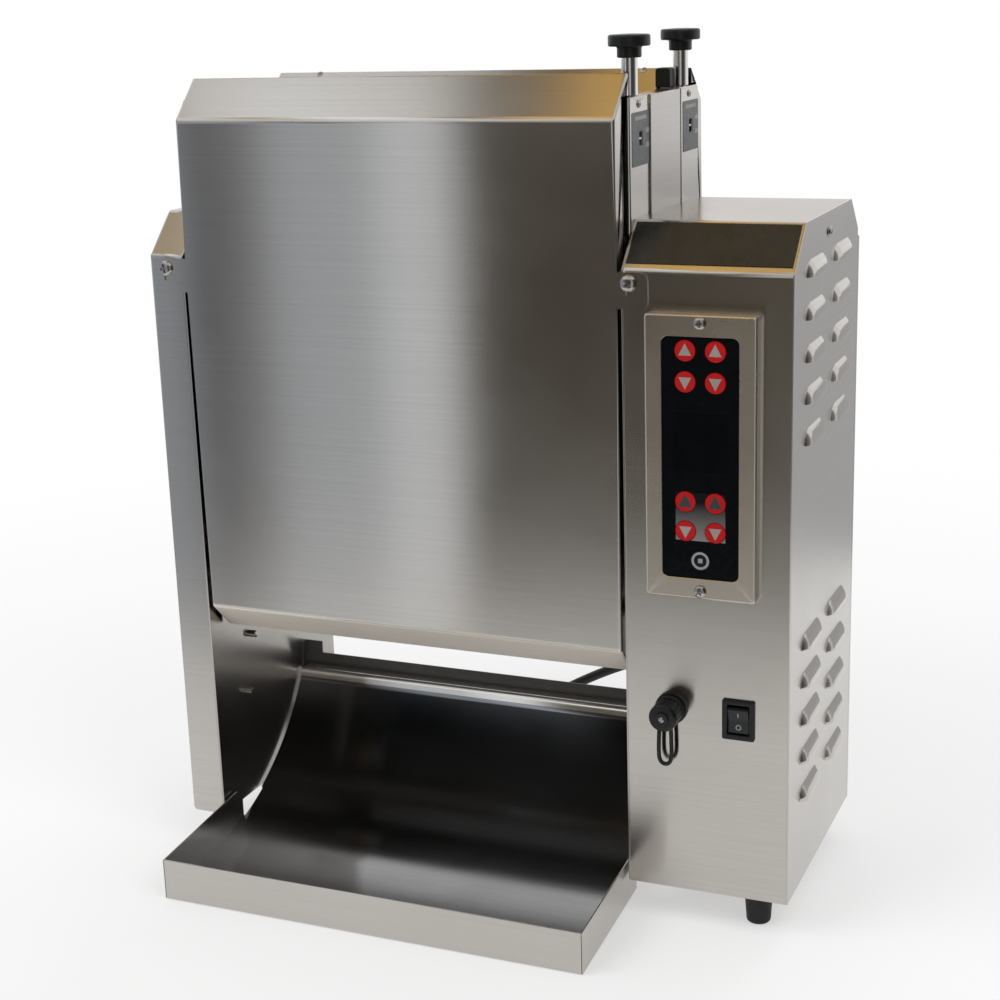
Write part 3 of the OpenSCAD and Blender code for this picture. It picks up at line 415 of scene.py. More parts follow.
# finishes
grainAxes = {  # stretch of the grain, and its direction, a little off the axis
    "alongX": ((4, 800, 800), (1, 0.021, 0.013)),
    "alongY": ((800, 4, 800), (0.021, 1, 0.013)),
}
sheetFinish = {
    "grain": "alongX", "tone": 1.0, "colours": ((0.512, 0.488, 0.457), (0.555, 0.528, 0.494)),
    "roughness": (0.17, 0.21), "anisotropy": 0.95, "metallic": 1.0, "bump": 0.04,
}
steelFinishes = {  # what differs from the sheet
    "brushedSteelLevel": {},
    "brushedSteelSide": {"grain": "alongY"},
    "frameSteel": {"grain": "alongY", "tone": 0.82},
    # the chute floor: a darker copy of the sheet steel, painted shade for the dark inside that it mirrors
    "chuteSteel": {"tone": 0.6, "roughness": (0.11, 0.15), "anisotropy": 0.6,
                   "colours": ((0.48, 0.48, 0.49), (0.55, 0.55, 0.56))},
    # the chute's hem: a brighter copy of the sheet steel, a painted highlight along the crest
    "hemSteel": {"tone": 1.55, "roughness": (0.08, 0.11), "anisotropy": 0.4, "metallic": 0.8},
    # the covers' inside faces: a nearly black copy of the sheet steel, painted shade for the unlit inside
    "innerSteel": {"tone": 0.1, "roughness": (0.35, 0.5), "anisotropy": 0.5},
    # the cover's toe: a brighter, warmer copy of the sheet steel, painted light
    "toeSteel": {"tone": 1.55, "roughness": (0.36, 0.44), "anisotropy": 0.3, "metallic": 0.4,
                 "colours": ((0.525, 0.482, 0.425), (0.565, 0.52, 0.46))},
    "louvreSteel": {"grain": "alongY", "tone": 0.98, "roughness": (0.1, 0.15), "anisotropy": 0.2},
    # the keypad frame: a warmer, brighter copy of the sheet steel, painted warm light
    "bezelSteel": {"tone": 1.08, "roughness": (0.24, 0.29),
                   "colours": ((0.532, 0.488, 0.427), (0.575, 0.528, 0.462))},
}
turnedFinishes = {  # two tones, roughness, stretch of the grain, bump
    "brightSteel": ((0.62, 0.61, 0.6), (0.74, 0.73, 0.72), (0.12, 0.22), (900, 900, 60)),
    "screwSteel": ((0.36, 0.35, 0.335), (0.46, 0.45, 0.43), (0.2, 0.3)),
    "platedSteel": ((0.5, 0.52, 0.53), (0.62, 0.64, 0.64), (0.28, 0.42)),
    "rollerAlloy": ((0.6, 0.6, 0.61), (0.72, 0.72, 0.73), (0.25, 0.38), (900, 60, 60)),
    "castPlaten": ((0.46, 0.46, 0.46), (0.62, 0.62, 0.62), (0.38, 0.55), (300, 300, 300), 0.15),
    "elementSheath": ((0.1, 0.09, 0.09), (0.2, 0.19, 0.18), (0.45, 0.65), (400, 400, 400)),
    "bronzeBush": ((0.52, 0.38, 0.2), (0.7, 0.54, 0.32), (0.3, 0.45)),
}
mouldedFinishes = {  # two tones, roughness, pebbles in a metre, bump, mirror level
    "motorPaint": ((0.1, 0.1, 0.11), (0.16, 0.16, 0.17), (0.38, 0.55), 700, 0.08),
    "blackEnamel": ((0.012, 0.012, 0.011), (0.019, 0.0185, 0.017), (0.22, 0.34), 1400, 0.02, 0.36),
    "barPaint": ((0.075, 0.072, 0.067), (0.1, 0.096, 0.09), (0.3, 0.42), 1100, 0.05),
    "blackPlastic": ((0.0035, 0.004, 0.005), (0.007, 0.008, 0.009), (0.3, 0.42), 1500, 0.05, 0.32),
    "paddlePlastic": ((0.009, 0.01, 0.011), (0.015, 0.016, 0.017), (0.3, 0.42), 1500, 0.06, 0.35),
    "blackRubber": ((0.006, 0.0065, 0.007), (0.012, 0.012, 0.012), (0.5, 0.7), 1200, 0.1, 0.35),
    "cordRubber": ((0.012, 0.012, 0.013), (0.024, 0.023, 0.022), (0.5, 0.68), 1600, 0.12),
    "redKey": ((0.33, 0.002, 0.003), (0.38, 0.004, 0.005), (0.38, 0.5), 1800, 0.03, 0.15),
    "greyPrint": ((0.21, 0.19, 0.172), (0.25, 0.228, 0.205), (0.4, 0.5), 1800, 0.03),
    "darkPrint": ((0.02, 0.024, 0.025), (0.03, 0.034, 0.035), (0.4, 0.5), 1800, 0.03),
    "startKey": ((0.003, 0.0035, 0.004), (0.005, 0.006, 0.007), (0.3, 0.42), 1800, 0.03, 0.25),
    "whitePrint": ((0.21, 0.21, 0.215), (0.25, 0.25, 0.255), (0.4, 0.5), 1800, 0.02),
    "displayLens": ((0.0015, 0.002, 0.0026), (0.0026, 0.0032, 0.004), (0.1, 0.16), 400, 0.01, 0.14),
    "circuitBoard": ((0.015, 0.1, 0.04), (0.03, 0.16, 0.07), (0.3, 0.45), 700, 0.06),
    "labelFilm": ((0.05, 0.06, 0.066), (0.062, 0.072, 0.078), (0.35, 0.48), 1800, 0.03),
}


def makeFinish(name, effect, size, tones, span, roughness, others, bump, depth=0.0002):
    material, tree, shader, coords = startMaterial(name)
    surface = addNode(tree, "Group", {"Vector": coords, "Size": size}, node_tree=effect).outputs
    feed(tree, shader, {
        "Base Color": ramp(tree, surface["Tint"], span, *tones),
        "Roughness": spread(tree, surface["Wear"], noiseSpan, roughness),
        "Normal": bumped(tree, surface["Height"], bump, depth),
        **others,
    })
    return material, tree, shader


def makeBrushedSteel(name, changes):
    v = {**sheetFinish, **changes}
    stretch, axis = grainAxes[v["grain"]]
    tones = [[c * v["tone"] for c in colour] for colour in v["colours"]]
    others = {"Metallic": v["metallic"], "Anisotropic": v["anisotropy"]}
    material, tree, shader = makeFinish(
        name, brushedGrain, stretch, tones, noiseSpan, v["roughness"], others, v["bump"])
    normal = addNode(tree, "NewGeometry").outputs["Normal"]
    feed(tree, shader, {"Tangent": reckon(tree, "CROSS_PRODUCT", normal, axis, kind="VectorMath")})
    return material


def makeTurnedMetal(name, low, high, roughness, stretch=(900, 900, 900), bump=0.04):
    return makeFinish(name, brushedGrain, stretch, (low, high), noiseSpan, roughness, {"Metallic": 1.0}, bump)[0]


def makeMoulded(name, low, high, roughness, pebble, bump, level=0.5):
    others = {"Specular IOR Level": level}
    return makeFinish(name, mouldedSkin, pebble, (low, high), dustSpan, roughness, others, bump)[0]


finishes = {name: makeBrushedSteel(name, changes) for name, changes in steelFinishes.items()}
for name, values in turnedFinishes.items():
    finishes[name] = makeTurnedMetal(name, *values)
for name, values in mouldedFinishes.items():
    finishes[name] = makeMoulded(name, *values)


# woven release belt, kept near black: partly the cloth's own dark colour, partly painted shade for the machine's unlit
# inside
beltFinish = {
    "waves": 900.0 / 6.283, "wander": 0.4, "stain": (14.0, 5.0, 0.5), "low": (0.014, 0.013, 0.012),
    "high": (0.034, 0.031, 0.028), "span": (0.35, 1.3), "roughness": (0.35, 0.55), "bump": (0.2, 0.0003),
}


def makeBeltCloth(v):
    material, tree, shader, coords = startMaterial("releaseBelt")
    threads = {"Vector": coords, "Scale": v["waves"], "Distortion": v["wander"]}
    weft, warp = (addNode(tree, "TexWave", threads, bands_direction=axis).outputs["Fac"] for axis in "XZ")
    weave = reckon(tree, "MULTIPLY", weft, warp)
    stain = noise(tree, coords, *v["stain"])
    feed(tree, shader, {
        "Base Color": ramp(tree, reckon(tree, "ADD", weave, stain), v["span"], v["low"], v["high"]),
        "Roughness": spread(tree, stain, noiseSpan, v["roughness"]),
        "Normal": bumped(tree, weave, *v["bump"]),
    })
    return material


finishes["releaseBelt"] = makeBeltCloth(beltFinish)


# the keypad's film, with a printed panel that pales downwards behind the lower keys
filmPrint = {
    "middle": (462.5, 336.4), "size": (37.6, 36.4), "paleFrom": 0.6, "top": (0.006, 0.007, 0.008),
    "bottom": (0.17, 0.16, 0.155), "film": ((0.0015, 0.002, 0.0025), (0.003, 0.0035, 0.0045)),
    "roughness": (0.16, 0.26), "pebble": 1800, "others": {"Specular IOR Level": 0.14}, "bump": (0.02, 0.0001),
}


def makeKeypadFilm(v):
    material, tree, shader = makeFinish(
        "keypadFilm", mouldedSkin, v["pebble"], v["film"], dustSpan, v["roughness"], v["others"], *v["bump"])
    middle = place(v["middle"][0], 0, v["middle"][1])
    halfW, halfH = (mm(size) / 2 for size in v["size"])
    parts = addNode(tree, "SeparateXYZ", {0: addNode(tree, "TexCoord").outputs["Object"]}).outputs
    inX = reckon(tree, "COMPARE", parts["X"], middle.x, halfW)
    inZ = reckon(tree, "COMPARE", parts["Z"], middle.z, halfH)
    paling = (middle.z + halfH * v["paleFrom"], middle.z - halfH)
    panel = ramp(tree, parts["Z"], paling, v["top"], v["bottom"])
    film = shader.inputs["Base Color"].links[0].from_socket
    feed(tree, shader, {"Base Color": mixColours(tree, reckon(tree, "MULTIPLY", inX, inZ), film, panel)})
    return material


finishes["keypadFilm"] = makeKeypadFilm(filmPrint)
slotOf = {part["node"]: part["material_slot"] for part in frame["record"]["subparts"]}
otherFinish = {"stainless_sheet": "brushedSteelLevel", "black_film": "keypadFilm", "grey_label": "labelFilm"}


def finishOf(slot):  # most finishes have the slot's own name
    first, *rest = slot.split("_")
    return otherFinish.get(slot, first + "".join(word.title() for word in rest))


for node, slot in slotOf.items():
    for materialSlot in nodes[node].material_slots:
        materialSlot.material = finishes[finishOf(slot)]
print("finishes made:", len(finishes))


# mains cord: out of the gland, down behind the machine and into a coil
cordValues = {
    "diameter": 9.0,
    "route": [
        (432, 238, 145), (432, 249, 145), (430, 261, 144), (424, 271, 143), (415, 279, 141), (402, 284, 138),
        (384, 286, 132), (364, 286, 124), (344, 286, 116), (324, 285, 108), (304, 284, 99), (284, 283, 90),
        (264, 281, 80), (244, 278, 69), (224, 274, 57), (205, 269, 44), (187, 264, 31), (169, 259, 19),
        (151, 254, 10), (132, 250, 5.5), (114, 248.95, 4.5),
    ],
    "coil": (100, 308), "inner": 37, "step": 9.8, "lift": 9.7, "climb": 0.5, "turns": 4.5, "knots": 24, "tail": 48,
    "steps": 6, "rounding": 4,
}


def coilPoint(turn, v):  # the coil winds inwards on the floor, climbs, and winds outwards on top
    fromMiddle = turn - v["turns"] / 2
    radius = v["inner"] + v["step"] * abs(fromMiddle)
    t = min(max(fromMiddle / v["climb"] + 0.5, 0), 1)
    height = v["diameter"] / 2 + v["lift"] * t * t * (3 - 2 * t)
    angle = radians(-90 - 360 * turn)
    x, y = v["coil"]
    return (x + radius * cos(angle), y + radius * sin(angle), height)


def layCord(v):
    loops = [coilPoint(i / v["knots"], v) for i in range(int(v["turns"] * v["knots"]) + 1)]
    x, y, z = loops[-1]
    tail = [(x + d, y, z) for d in (v["diameter"], v["tail"] / 2, v["tail"])]
    points = [place(*p) for p in v["route"] + loops + tail]
    cord = layTube("mainsCord", points, mm(v["diameter"]) / 2, v["steps"], v["rounding"], True)
    bpy.context.view_layer.update()
    return paint(cord, "cordRubber"), points, cord.data.splines[0].calc_length()


cordPiece, cordPoints, cordLength = layCord(cordValues)
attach(cordPiece, "machine")
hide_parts("cord", "cord_coil")
print("cord laid, length", round(cordLength, 4))


# plug at the cord's end
plugValues = {
    "start": (148, 367.05, 14.2), "pinFrom": 37, "pinTo": 56, "pinGap": 6.35, "pinHalf": 0.75, "pinHeight": (1, 7.3),
    "pinEase": 0.35, "earthDrop": 7,
    "earth": [(0, 0), (2.4, 0), (2.4, 19), (1.9, 20.4), (0.9, 21), (0, 21)],
    "body": [
        (4.6, 0), (5.6, 0.4), (5.8, 1.6), (5.2, 2.2), (5.9, 3.0), (6.1, 4.4), (5.5, 5.0), (6.4, 6.0), (6.8, 7.6),
        (6.2, 8.2), (8.4, 11.4), (10.6, 14.0), (12.8, 17.0), (13.8, 19.4), (13.9, 24), (13.9, 35.5), (13.2, 37.2),
        (11.6, 37.9), (0.0, 37.9),
    ],
}


def makePlug(v):
    x, y, z = v["start"]
    body = turnProfile("plugBody", v["body"], place(x, y, z), right, 48, 38)
    pins = []
    for side in (-1, 1):
        middle = y + side * v["pinGap"]
        low = (x + v["pinFrom"], middle - v["pinHalf"], z + v["pinHeight"][0])
        high = (x + v["pinTo"], middle + v["pinHalf"], z + v["pinHeight"][1])
        pins.append(block("plugPin", low, high, v["pinEase"]))
    earthAt = place(x + v["pinFrom"], y, z - v["earthDrop"])
    pins.append(turnProfile("plugPin", v["earth"], earthAt, right, 24, 38))
    return joinPieces("mainsPlug", [paint(body, "cordRubber")] + [paint(pin, "screwSteel") for pin in pins])


plugPiece = settle(makePlug(plugValues), None, "cord_plug")


# strap that holds the coil together
strapValues = {"at": (100, 308), "radii": (32.0, 64.2), "foot": 0.05, "top": 19.6, "width": 14, "thick": 0.8,
               "rounding": (4.0, 3.4), "steps": 5}


def makeCoilStrap(v):
    x, y = v["at"]
    near, far = x - v["radii"][1], x - v["radii"][0]
    width, thick = v["width"], v["thick"]
    outer = block("coilStrap", (near, y - width / 2, v["foot"]), (far, y + width / 2, v["top"]),
                  v["rounding"][0], v["steps"])
    inner = block("strapRoom", (near + thick, y - width, v["foot"] + thick), (far - thick, y + width, v["top"] - thick),
                  v["rounding"][1], v["steps"])
    cutAway(outer, inner)
    settleNormals(outer)
    return outer


strapPiece = settle(makeCoilStrap(strapValues), "blackRubber", body="machine")


# sheet pieces: folds get their bend radius, cut edges are eased
sheetPieces = {
    "frontCover": ("front_cover", 2.6),
    "rearCover": ("rear_cover", 2.6),
    "leftPost": ("left_post_shell", 2.2),
    "controlBox": ("control_box_shell", 2.2),
    "louvredPanel": ("side_panel", 0.8, "brushedSteelSide"),
    "frontScaleBracket": ("front_scale_bracket", 1.6, "brushedSteelSide"),
    "rearScaleBracket": ("rear_scale_bracket", 1.6, "brushedSteelSide"),
    "bunGuides": ("bun_guides", 1.6),
    "leftSideFrame": ("left_side_frame", 1.2),
    "rightSideFrame": ("right_side_frame", 1.2),
    "rearCrossbar": ("rear_crossbar", 1.2, "barPaint"),
}
sheetValues = {"bendSteps": 4, "cut": 0.25, "cutSteps": 2, "louvresFrom": place(528.8, 0, 0).x}
tightSheets = ("louvredPanel", "leftSideFrame", "rightSideFrame")  # small forms whose bends stay tight
otherFaces = {  # faces that take another finish: which ones, by normal and middle
    "frontCover": [
        # the cover's inside faces take the painted shade
        ("innerSteel", lambda face: face.normal.y > 0.3),
        # the toe faces take the painted light
        ("toeSteel", lambda face: face.normal.z < -0.4 and face.normal.y < -0.4),
    ],
    # the rear cover's inside faces take the painted shade
    "rearCover": [("innerSteel", lambda face: face.normal.y < -0.3)],
    "louvredPanel": [("louvreSteel", lambda face: face.center.x > sheetValues["louvresFrom"])],
}


def dressSheet(v, name, node, radius, finish=None):
    piece = copyNode(node, name)
    easeEdges(piece, isFold, radius, v["bendSteps"], clamp=name in tightSheets)
    easeEdges(piece, isSheetEdge, v["cut"], v["cutSteps"])
    settleFlats(piece)
    settle(piece, finish or finishOf(slotOf[node]), node)
    for other, wanted in otherFaces.get(name, []):
        piece.data.materials.append(finishes[other])
        for face in piece.data.polygons:
            if wanted(face):
                face.material_index = len(piece.data.materials) - 1


for pieceName, row in sheetPieces.items():
    dressSheet(sheetValues, pieceName, *row)
print("sheet pieces dressed:", len(sheetPieces))


# chute: a level tray, a long sweep up to the rear and a rolled crest, with low walls and an apron
chuteValues = {
    "wall": (33.0, 398.5), "floor": (35.0, 396.5), "wallBack": 25.0, "wallCorner": 8, "notch": (27.0, 58.0),
    "front": -102.0, "apron": 35.0, "lift": 0.6, "thick": 1.2, "seam": 0.2, "tray": (-101.7, -75, -45),
    "sweep": (-28.03, 211.05, 200.0), "sweepSteps": 48, "frontSlope": 4.2,
    "hem": (106.5, 111.8, 3.0), "hemLean": 5.5, "hemSteps": 8, "end": 156.4,
    "wallEase": (0.3, 2), "apronEase": (0.4, 3),
}


def chuteLine(v):
    y0, z0, r = v["sweep"]
    slope = radians(v["frontSlope"])
    startY, startZ = y0 + r * sin(slope), z0 - r * cos(slope)
    line = [(y, startZ - (startY - y) * tan(slope)) for y in v["tray"]]
    low, high, shoulder = v["hem"]
    last = acos((z0 - low) / r)
    for i in range(v["sweepSteps"] + 1):
        a = slope + (last - slope) * i / v["sweepSteps"]
        line.append((y0 + r * sin(a), z0 - r * cos(a)))
    lean = radians(v["hemLean"])
    hemY = line[-1][0] + (high - low) * tan(lean)
    for i in range(v["hemSteps"] + 1):
        a = (pi / 2 - lean) * (1 - i / v["hemSteps"])
        line.append((hemY + shoulder * (1 - sin(a)), high + shoulder * cos(a)))
    return line + [(v["end"], high + shoulder)]


def makeChuteFloor(v):
    line = chuteLine(v)
    columns = [v["wall"][0] + v["seam"], v["floor"][0], v["floor"][1], v["wall"][1] - v["seam"]]
    points = [place(x, y, z) for y, z in line for x in columns]
    faces = []
    for i in range(len(line) - 1):
        beside = line[i + 1][0] < v["notch"][0] or line[i][0] > v["notch"][1]
        for k in (0, 1, 2) if beside else (1,):
            faces.append((4 * i + k, 4 * i + k + 1, 4 * i + k + 5, 4 * i + k + 4))
    floor = newPiece("bunChute", points, [], faces)
    openMesh(floor)
    bpy.ops.mesh.delete_loose()
    faceOut()
    if floor.data.polygons[0].normal.z < 0:
        floor.data.flip_normals()
    applyModifier(floor, "SOLIDIFY", thickness=mm(v["thick"]), offset=-1)
    settleNormals(floor, 30)
    # the floor takes the darker steel as painted shade, and its hem the brighter steel as a painted highlight
    paint(floor, "chuteSteel").data.materials.append(finishes["hemSteel"])
    # faces above the hem's foot take the painted highlight
    for face in floor.data.polygons:
        face.material_index = 1 if face.center.z > mm(v["hem"][0] + v["seam"]) else 0
    return floor


def makeChute(v):
    floor = makeChuteFloor(v)
    (x0, x1), front, back, corner = v["wall"], v["front"], v["wallBack"], v["wallCorner"]
    rise = (back - front) * tan(radians(v["frontSlope"]))
    top = v["apron"] + rise
    outline = [
        (front, v["lift"]), (front, v["apron"]), (back - corner, top), (back, top - corner), (back, v["lift"] + rise),
    ]
    parts = [floor]
    for x in (x0, x1 - v["thick"]):
        wall = drawOut("chuteWall", [place(x, y, z) for y, z in outline], (mm(v["thick"]), 0, 0))
        easeEdges(wall, isCorner, *v["wallEase"])
        settleNormals(wall)
        parts.append(paint(wall, "brushedSteelSide"))
    apron = block("chuteApron", (x0, front, v["lift"]), (x1, front + v["thick"], v["apron"]), *v["apronEase"])
    return joinPieces("bunChute", parts + [paint(apron, "brushedSteelLevel")])


settle(makeChute(chuteValues), None, "bun_chute")


# screws: a domed head with a cross recess, modelled once
screwValues = {
    "radius": 4.0, "height": 2.2, "recess": (4.6, 0.9, 1.1), "steps": 40,
    "dome": [(0, 0), (0.98, 0), (1, 0.25), (0.97, 0.7), (0.88, 1.25), (0.72, 1.7), (0.48, 2.05)],
}
panelScrews = [  # machine point, facing, turn of the recess, size
    ((15.5, -1.2, 505.5), ahead, 12, 1.6), ((406.5, -1.2, 505.5), ahead, 40, 1.6),
    ((15.5, 213.2, 505.5), behind, 25, 1.6), ((406.5, 213.2, 505.5), behind, 5, 1.6),
    ((462.5, -10, 279.5), ahead, 33, 1.2), ((462.5, -10, 480), ahead, 8, 1.2),
    ((528.5, 104, 532), right, 20, 1.0),
    ((400.5, 44, 629.5), right, 15, 0.7), ((400.5, 168, 629.5), right, 50, 0.7),
]
guideScrews = [((70, 176.2, 646.8), (0, -0.66, 0.75), 0, 0.8), ((361, 176.2, 646.8), (0, -0.66, 0.75), 20, 0.8)]


def makeScrew(v):
    dome = [(v["radius"] * share, height) for share, height in v["dome"]] + [(0, v["height"])]
    head = turnProfile("panScrew", dome, Vector(), up, v["steps"])
    length, width, depth = (mm(size) for size in v["recess"])
    for turn in (0, 90):
        cutAway(head, newCube("screwRecess", (0, 0, mm(v["height"])), (length, width, 2 * depth), turn))
    settleNormals(head, 30)
    return head


def setScrew(template, name, at, direction, turn, size):  # turns the head's +Z to the direction
    quat = Vector(up).rotation_difference(Vector(direction))
    turned = quat.to_matrix().to_4x4() @ Matrix.Rotation(radians(turn), 4, "Z")
    return copyTo(template, name, Matrix.Translation(place(*at)) @ turned @ Matrix.Scale(size, 4))


def addScrews():
    template = makeScrew(screwValues)
    panelHeads = [setScrew(template, "panelScrew", *row) for row in panelScrews]
    guideHeads = [setScrew(template, "guideScrew", *row) for row in guideScrews]
    discard(template)
    settle(joinPieces("panelScrews", panelHeads), "screwSteel", "panel_screws")
    settle(joinPieces("guideScrews", guideHeads), "screwSteel", body="machine")


addScrews()
print("screws set")


# keypad frame: a drawn rim with rounded shoulders round the film's opening
bezelValues = {
    "middle": (462.5, 379.75), "outer": (84.0, 212.5, 3.0), "opening": (58.0, 181.0, 5.0), "front": -10.0,
    "shoulder": 1.6, "shoulderSteps": 6, "thick": 1.2, "lip": 0.3, "cornerSteps": 8, "leastRadius": 0.4,
}


def roundedLoop(v, width, height, radius, y):  # points of a rounded rectangle, corner by corner
    x0, z0 = v["middle"]
    points = []
    for quarter, (sx, sz) in enumerate(((1, 1), (-1, 1), (-1, -1), (1, -1))):
        for i in range(v["cornerSteps"] + 1):
            a = radians(90 * (quarter + i / v["cornerSteps"]))
            x = x0 + sx * (width / 2 - radius) + radius * cos(a)
            points.append(place(x, y, z0 + sz * (height / 2 - radius) + radius * sin(a)))
    return points


def grown(size, by, lowest=0.0):  # a rounded rectangle's width, height and radius, larger all round
    width, height, radius = size
    return width + 2 * by, height + 2 * by, max(radius + by, lowest)


def makeBezel(v):
    front, shoulder, thick, lip = v["front"], v["shoulder"], v["thick"], v["lip"]
    rings = [(*v["opening"], front + thick), (*v["opening"], front + lip), (*grown(v["opening"], lip), front)]
    for i in range(v["shoulderSteps"] + 1):
        a = pi / 2 * i / v["shoulderSteps"]
        inset = shoulder * (1 - sin(a))
        rings.append((*grown(v["outer"], -inset, v["leastRadius"]), front + shoulder * (1 - cos(a))))
    inside = grown(v["outer"], -thick)
    rings += [(*v["outer"], 0), (*inside, 0), (*inside, front + thick)]
    loops = [roundedLoop(v, *ring) for ring in rings]
    count = len(loops[0])
    faces = []
    for k in range(len(loops)):
        for i in range(count):
            j, n = (i + 1) % count, (k + 1) % len(loops)
            faces.append((k * count + i, k * count + j, n * count + j, n * count + i))
    piece = newPiece("keypadBezel", [point for loop in loops for point in loop], [], faces)
    openMesh(piece)
    faceOut()
    settleFlats(piece, 40)
    return piece


# the frame takes the warmer, brighter steel as painted warm light
settle(makeBezel(bezelValues), "bezelSteel", "keypad_bezel")


# keypad: nine keys with their signs
keypadValues = {
    "middle": (462.5, 379.75), "pitch": 22.6, "front": -9.3, "back": -7.2, "radius": 7.75, "proud": 0.06,
    "edge": [(0, 0.5), (0.12, 0.18), (0.45, 0.02), (0.8, 0)],  # inset, and depth below the face
    "rows": [  # group, way, height, the arrow's base, height and print
        ("upper", "up", 80, 9.6, 9.0, "greyPrint"), ("upper", "down", 57.2, 9.6, 9.0, "greyPrint"),
        ("lower", "up", -32.2, 10.6, 10.4, "darkPrint"), ("lower", "down", -54.5, 9.6, 9.0, "greyPrint"),
    ],
    "tipShare": 0.62, "start": -76.5, "startRing": (6.7, 4.9), "stopHalf": 1.7,
}


def keyDisc(name, x, z, v):
    depth, r = v["back"] - v["front"], v["radius"]
    rim = [(r - inset, depth - below) for inset, below in v["edge"]]
    return turnProfile(name, [(0, 0), (r, 0)] + rim + [(0, depth)], place(x, v["back"], z), ahead, 56, 30)


def keySign(name, outline, v):
    points = [place(x, v["front"] - v["proud"], z) for x, z in outline]
    return drawOut(name, points, (0, mm(v["proud"]), 0))


def tubeSign(name, outer, inner, height, at, steps):  # a flat ring that stands off the face
    profile = [(inner, 0), (outer, 0), (outer, height), (inner, height), (inner, 0)]
    return turnProfile(name, profile, at, ahead, steps)


def addKeys(v):
    midX, midZ = v["middle"]
    for group, way, rise, base, height, ink in v["rows"]:
        for side, sign in (("left", -1), ("right", 1)):
            node = "_".join(("key", group, side, way))
            x, z = midX + sign * v["pitch"] / 2, midZ + rise
            disc = paint(keyDisc(node + "Disc", x, z, v), "redKey")
            point = height if way == "up" else -height
            foot = z - point * (1 - v["tipShare"])
            outline = [(x - base / 2, foot), (x, z + point * v["tipShare"]), (x + base / 2, foot)]
            arrow = paint(keySign("arrowSign", outline, v), ink)
            piece = joinPieces("key" + group.title() + side.title() + way.title(), [disc, arrow])
            settle(piece, None, node)
    x, z, half = midX, midZ + v["start"], v["stopHalf"]
    disc = paint(keyDisc("startDisc", x, z, v), "startKey")
    ring = tubeSign("ringSign", *v["startRing"], v["proud"], place(x, v["front"], z), 48)
    outline = [(x - half, z - half), (x + half, z - half), (x + half, z + half), (x - half, z + half)]
    signs = [paint(sign, "whitePrint") for sign in (ring, keySign("stopSign", outline, v))]
    settle(joinPieces("keyStart", [disc] + signs), None, "key_start")


addKeys(keypadValues)


# solids with eased edges all round
solidPieces = {
    "keypadFilm": ("keypad_overlay", 0.2), "displayLens": ("display_window", 0.15),
    "rockerHousing": ("rocker_housing", 0.5), "rockerPaddle": ("rocker_paddle", 0.4, "paddlePlastic"),
    "guideStop": ("rear_guide_stop", 0.8), "badgePlate": ("badge_plate", 0.3),
    "scaleLabels": ("scale_labels", 0.08), "platenFront": ("platen_front", 0.8),
    "platenRear": ("platen_rear", 0.8), "platenBrackets": ("platen_brackets", 0.6),
    "frontPointer": ("front_pointer_nut", 0.3), "rearPointer": ("rear_pointer_nut", 0.3),
}


def dressSolid(name, node, width, finish=None):
    piece = copyNode(node, name)
    easeEdges(piece, isCorner, width, 3)
    settleFlats(piece)
    settle(piece, finish or finishOf(slotOf[node]), node)


for pieceName, row in solidPieces.items():
    dressSolid(pieceName, *row)
print("keypad and solids dressed")


# rocker signs: a stroke above, a ring below, on the two halves of the paddle
rockerValues = {
    "x": 489.5, "pivotY": 5.0, "z": 177.5, "tilt": 9.0, "rise": 5.2, "face": 5.5, "slope": (1.7, 9.9), "sunk": 0.02,
    "stroke": (0.45, 2.0), "ring": (2.2, 1.5), "half": 0.1, "ease": 0.05,
}


def addRockerSigns(v):
    x, z, half = v["x"], v["z"], v["half"]
    halfW, halfH = v["stroke"]
    middle = z + v["rise"]
    stroke = block("rockerStroke", (x - halfW, -half, middle - halfH), (x + halfW, half, middle + halfH), v["ease"], 1)
    ring = tubeSign("rockerRing", *v["ring"], 2 * half, place(x, half, z - v["rise"]), 32)
    out, along = v["slope"]  # each half of the face stands out towards its end
    depth = -v["face"] - out * v["rise"] / along - v["sunk"]
    onFace = Matrix.Translation((0, mm(v["pivotY"] + depth), 0))
    tilt = turnAbout(place(x, v["pivotY"], z), radians(v["tilt"]), "X")
    for sign, way in ((stroke, 1), (ring, -1)):
        turn = turnAbout(place(x, 0, z + way * v["rise"]), way * atan2(out, along), "X")
        sign.data.transform(tilt @ onFace @ turn)
    return joinPieces("rockerSigns", [stroke, ring])


settle(addRockerSigns(rockerValues), "whitePrint", body="rocker")


# adjusters: rods with a fine chamfer, knobs with a stepped hub
adjusterValues = {
    "x": 392.5, "rows": {"front": 48.0, "rear": 172.0}, "rodLow": 635.3, "rodTop": 662.3, "threadLow": 532.0,
    "pitch": 2, "tip": [(0, 0), (3.3, 0), (3.9, 0.8)], "runOut": 4,
    "thread": [(3.98, 1.2), (3.98, 1.5), (3.35, 2.1), (3.35, 2.5)],
    "neck": [(3.98, -1), (3.98, 0), (5.6, 0), (6.0, 0.4)], "rod": 6.0,
    "knob": [
        (0, 0), (8.0, 0), (8.7, 0.3), (9.0, 1.0), (9.0, 6.4), (9.2, 7.2), (9.8, 7.8), (10.6, 8.0), (14.4, 8.1),
        (15.1, 8.4), (15.45, 9.0), (15.5, 9.8), (15.5, 14.4), (15.3, 15.4), (14.8, 16.1), (14.1, 16.4),
        (12.4, 16.45), (12.2, 16.3), (11.9, 16.3), (11.7, 16.5), (6.0, 16.8), (0, 16.9),
    ],
}


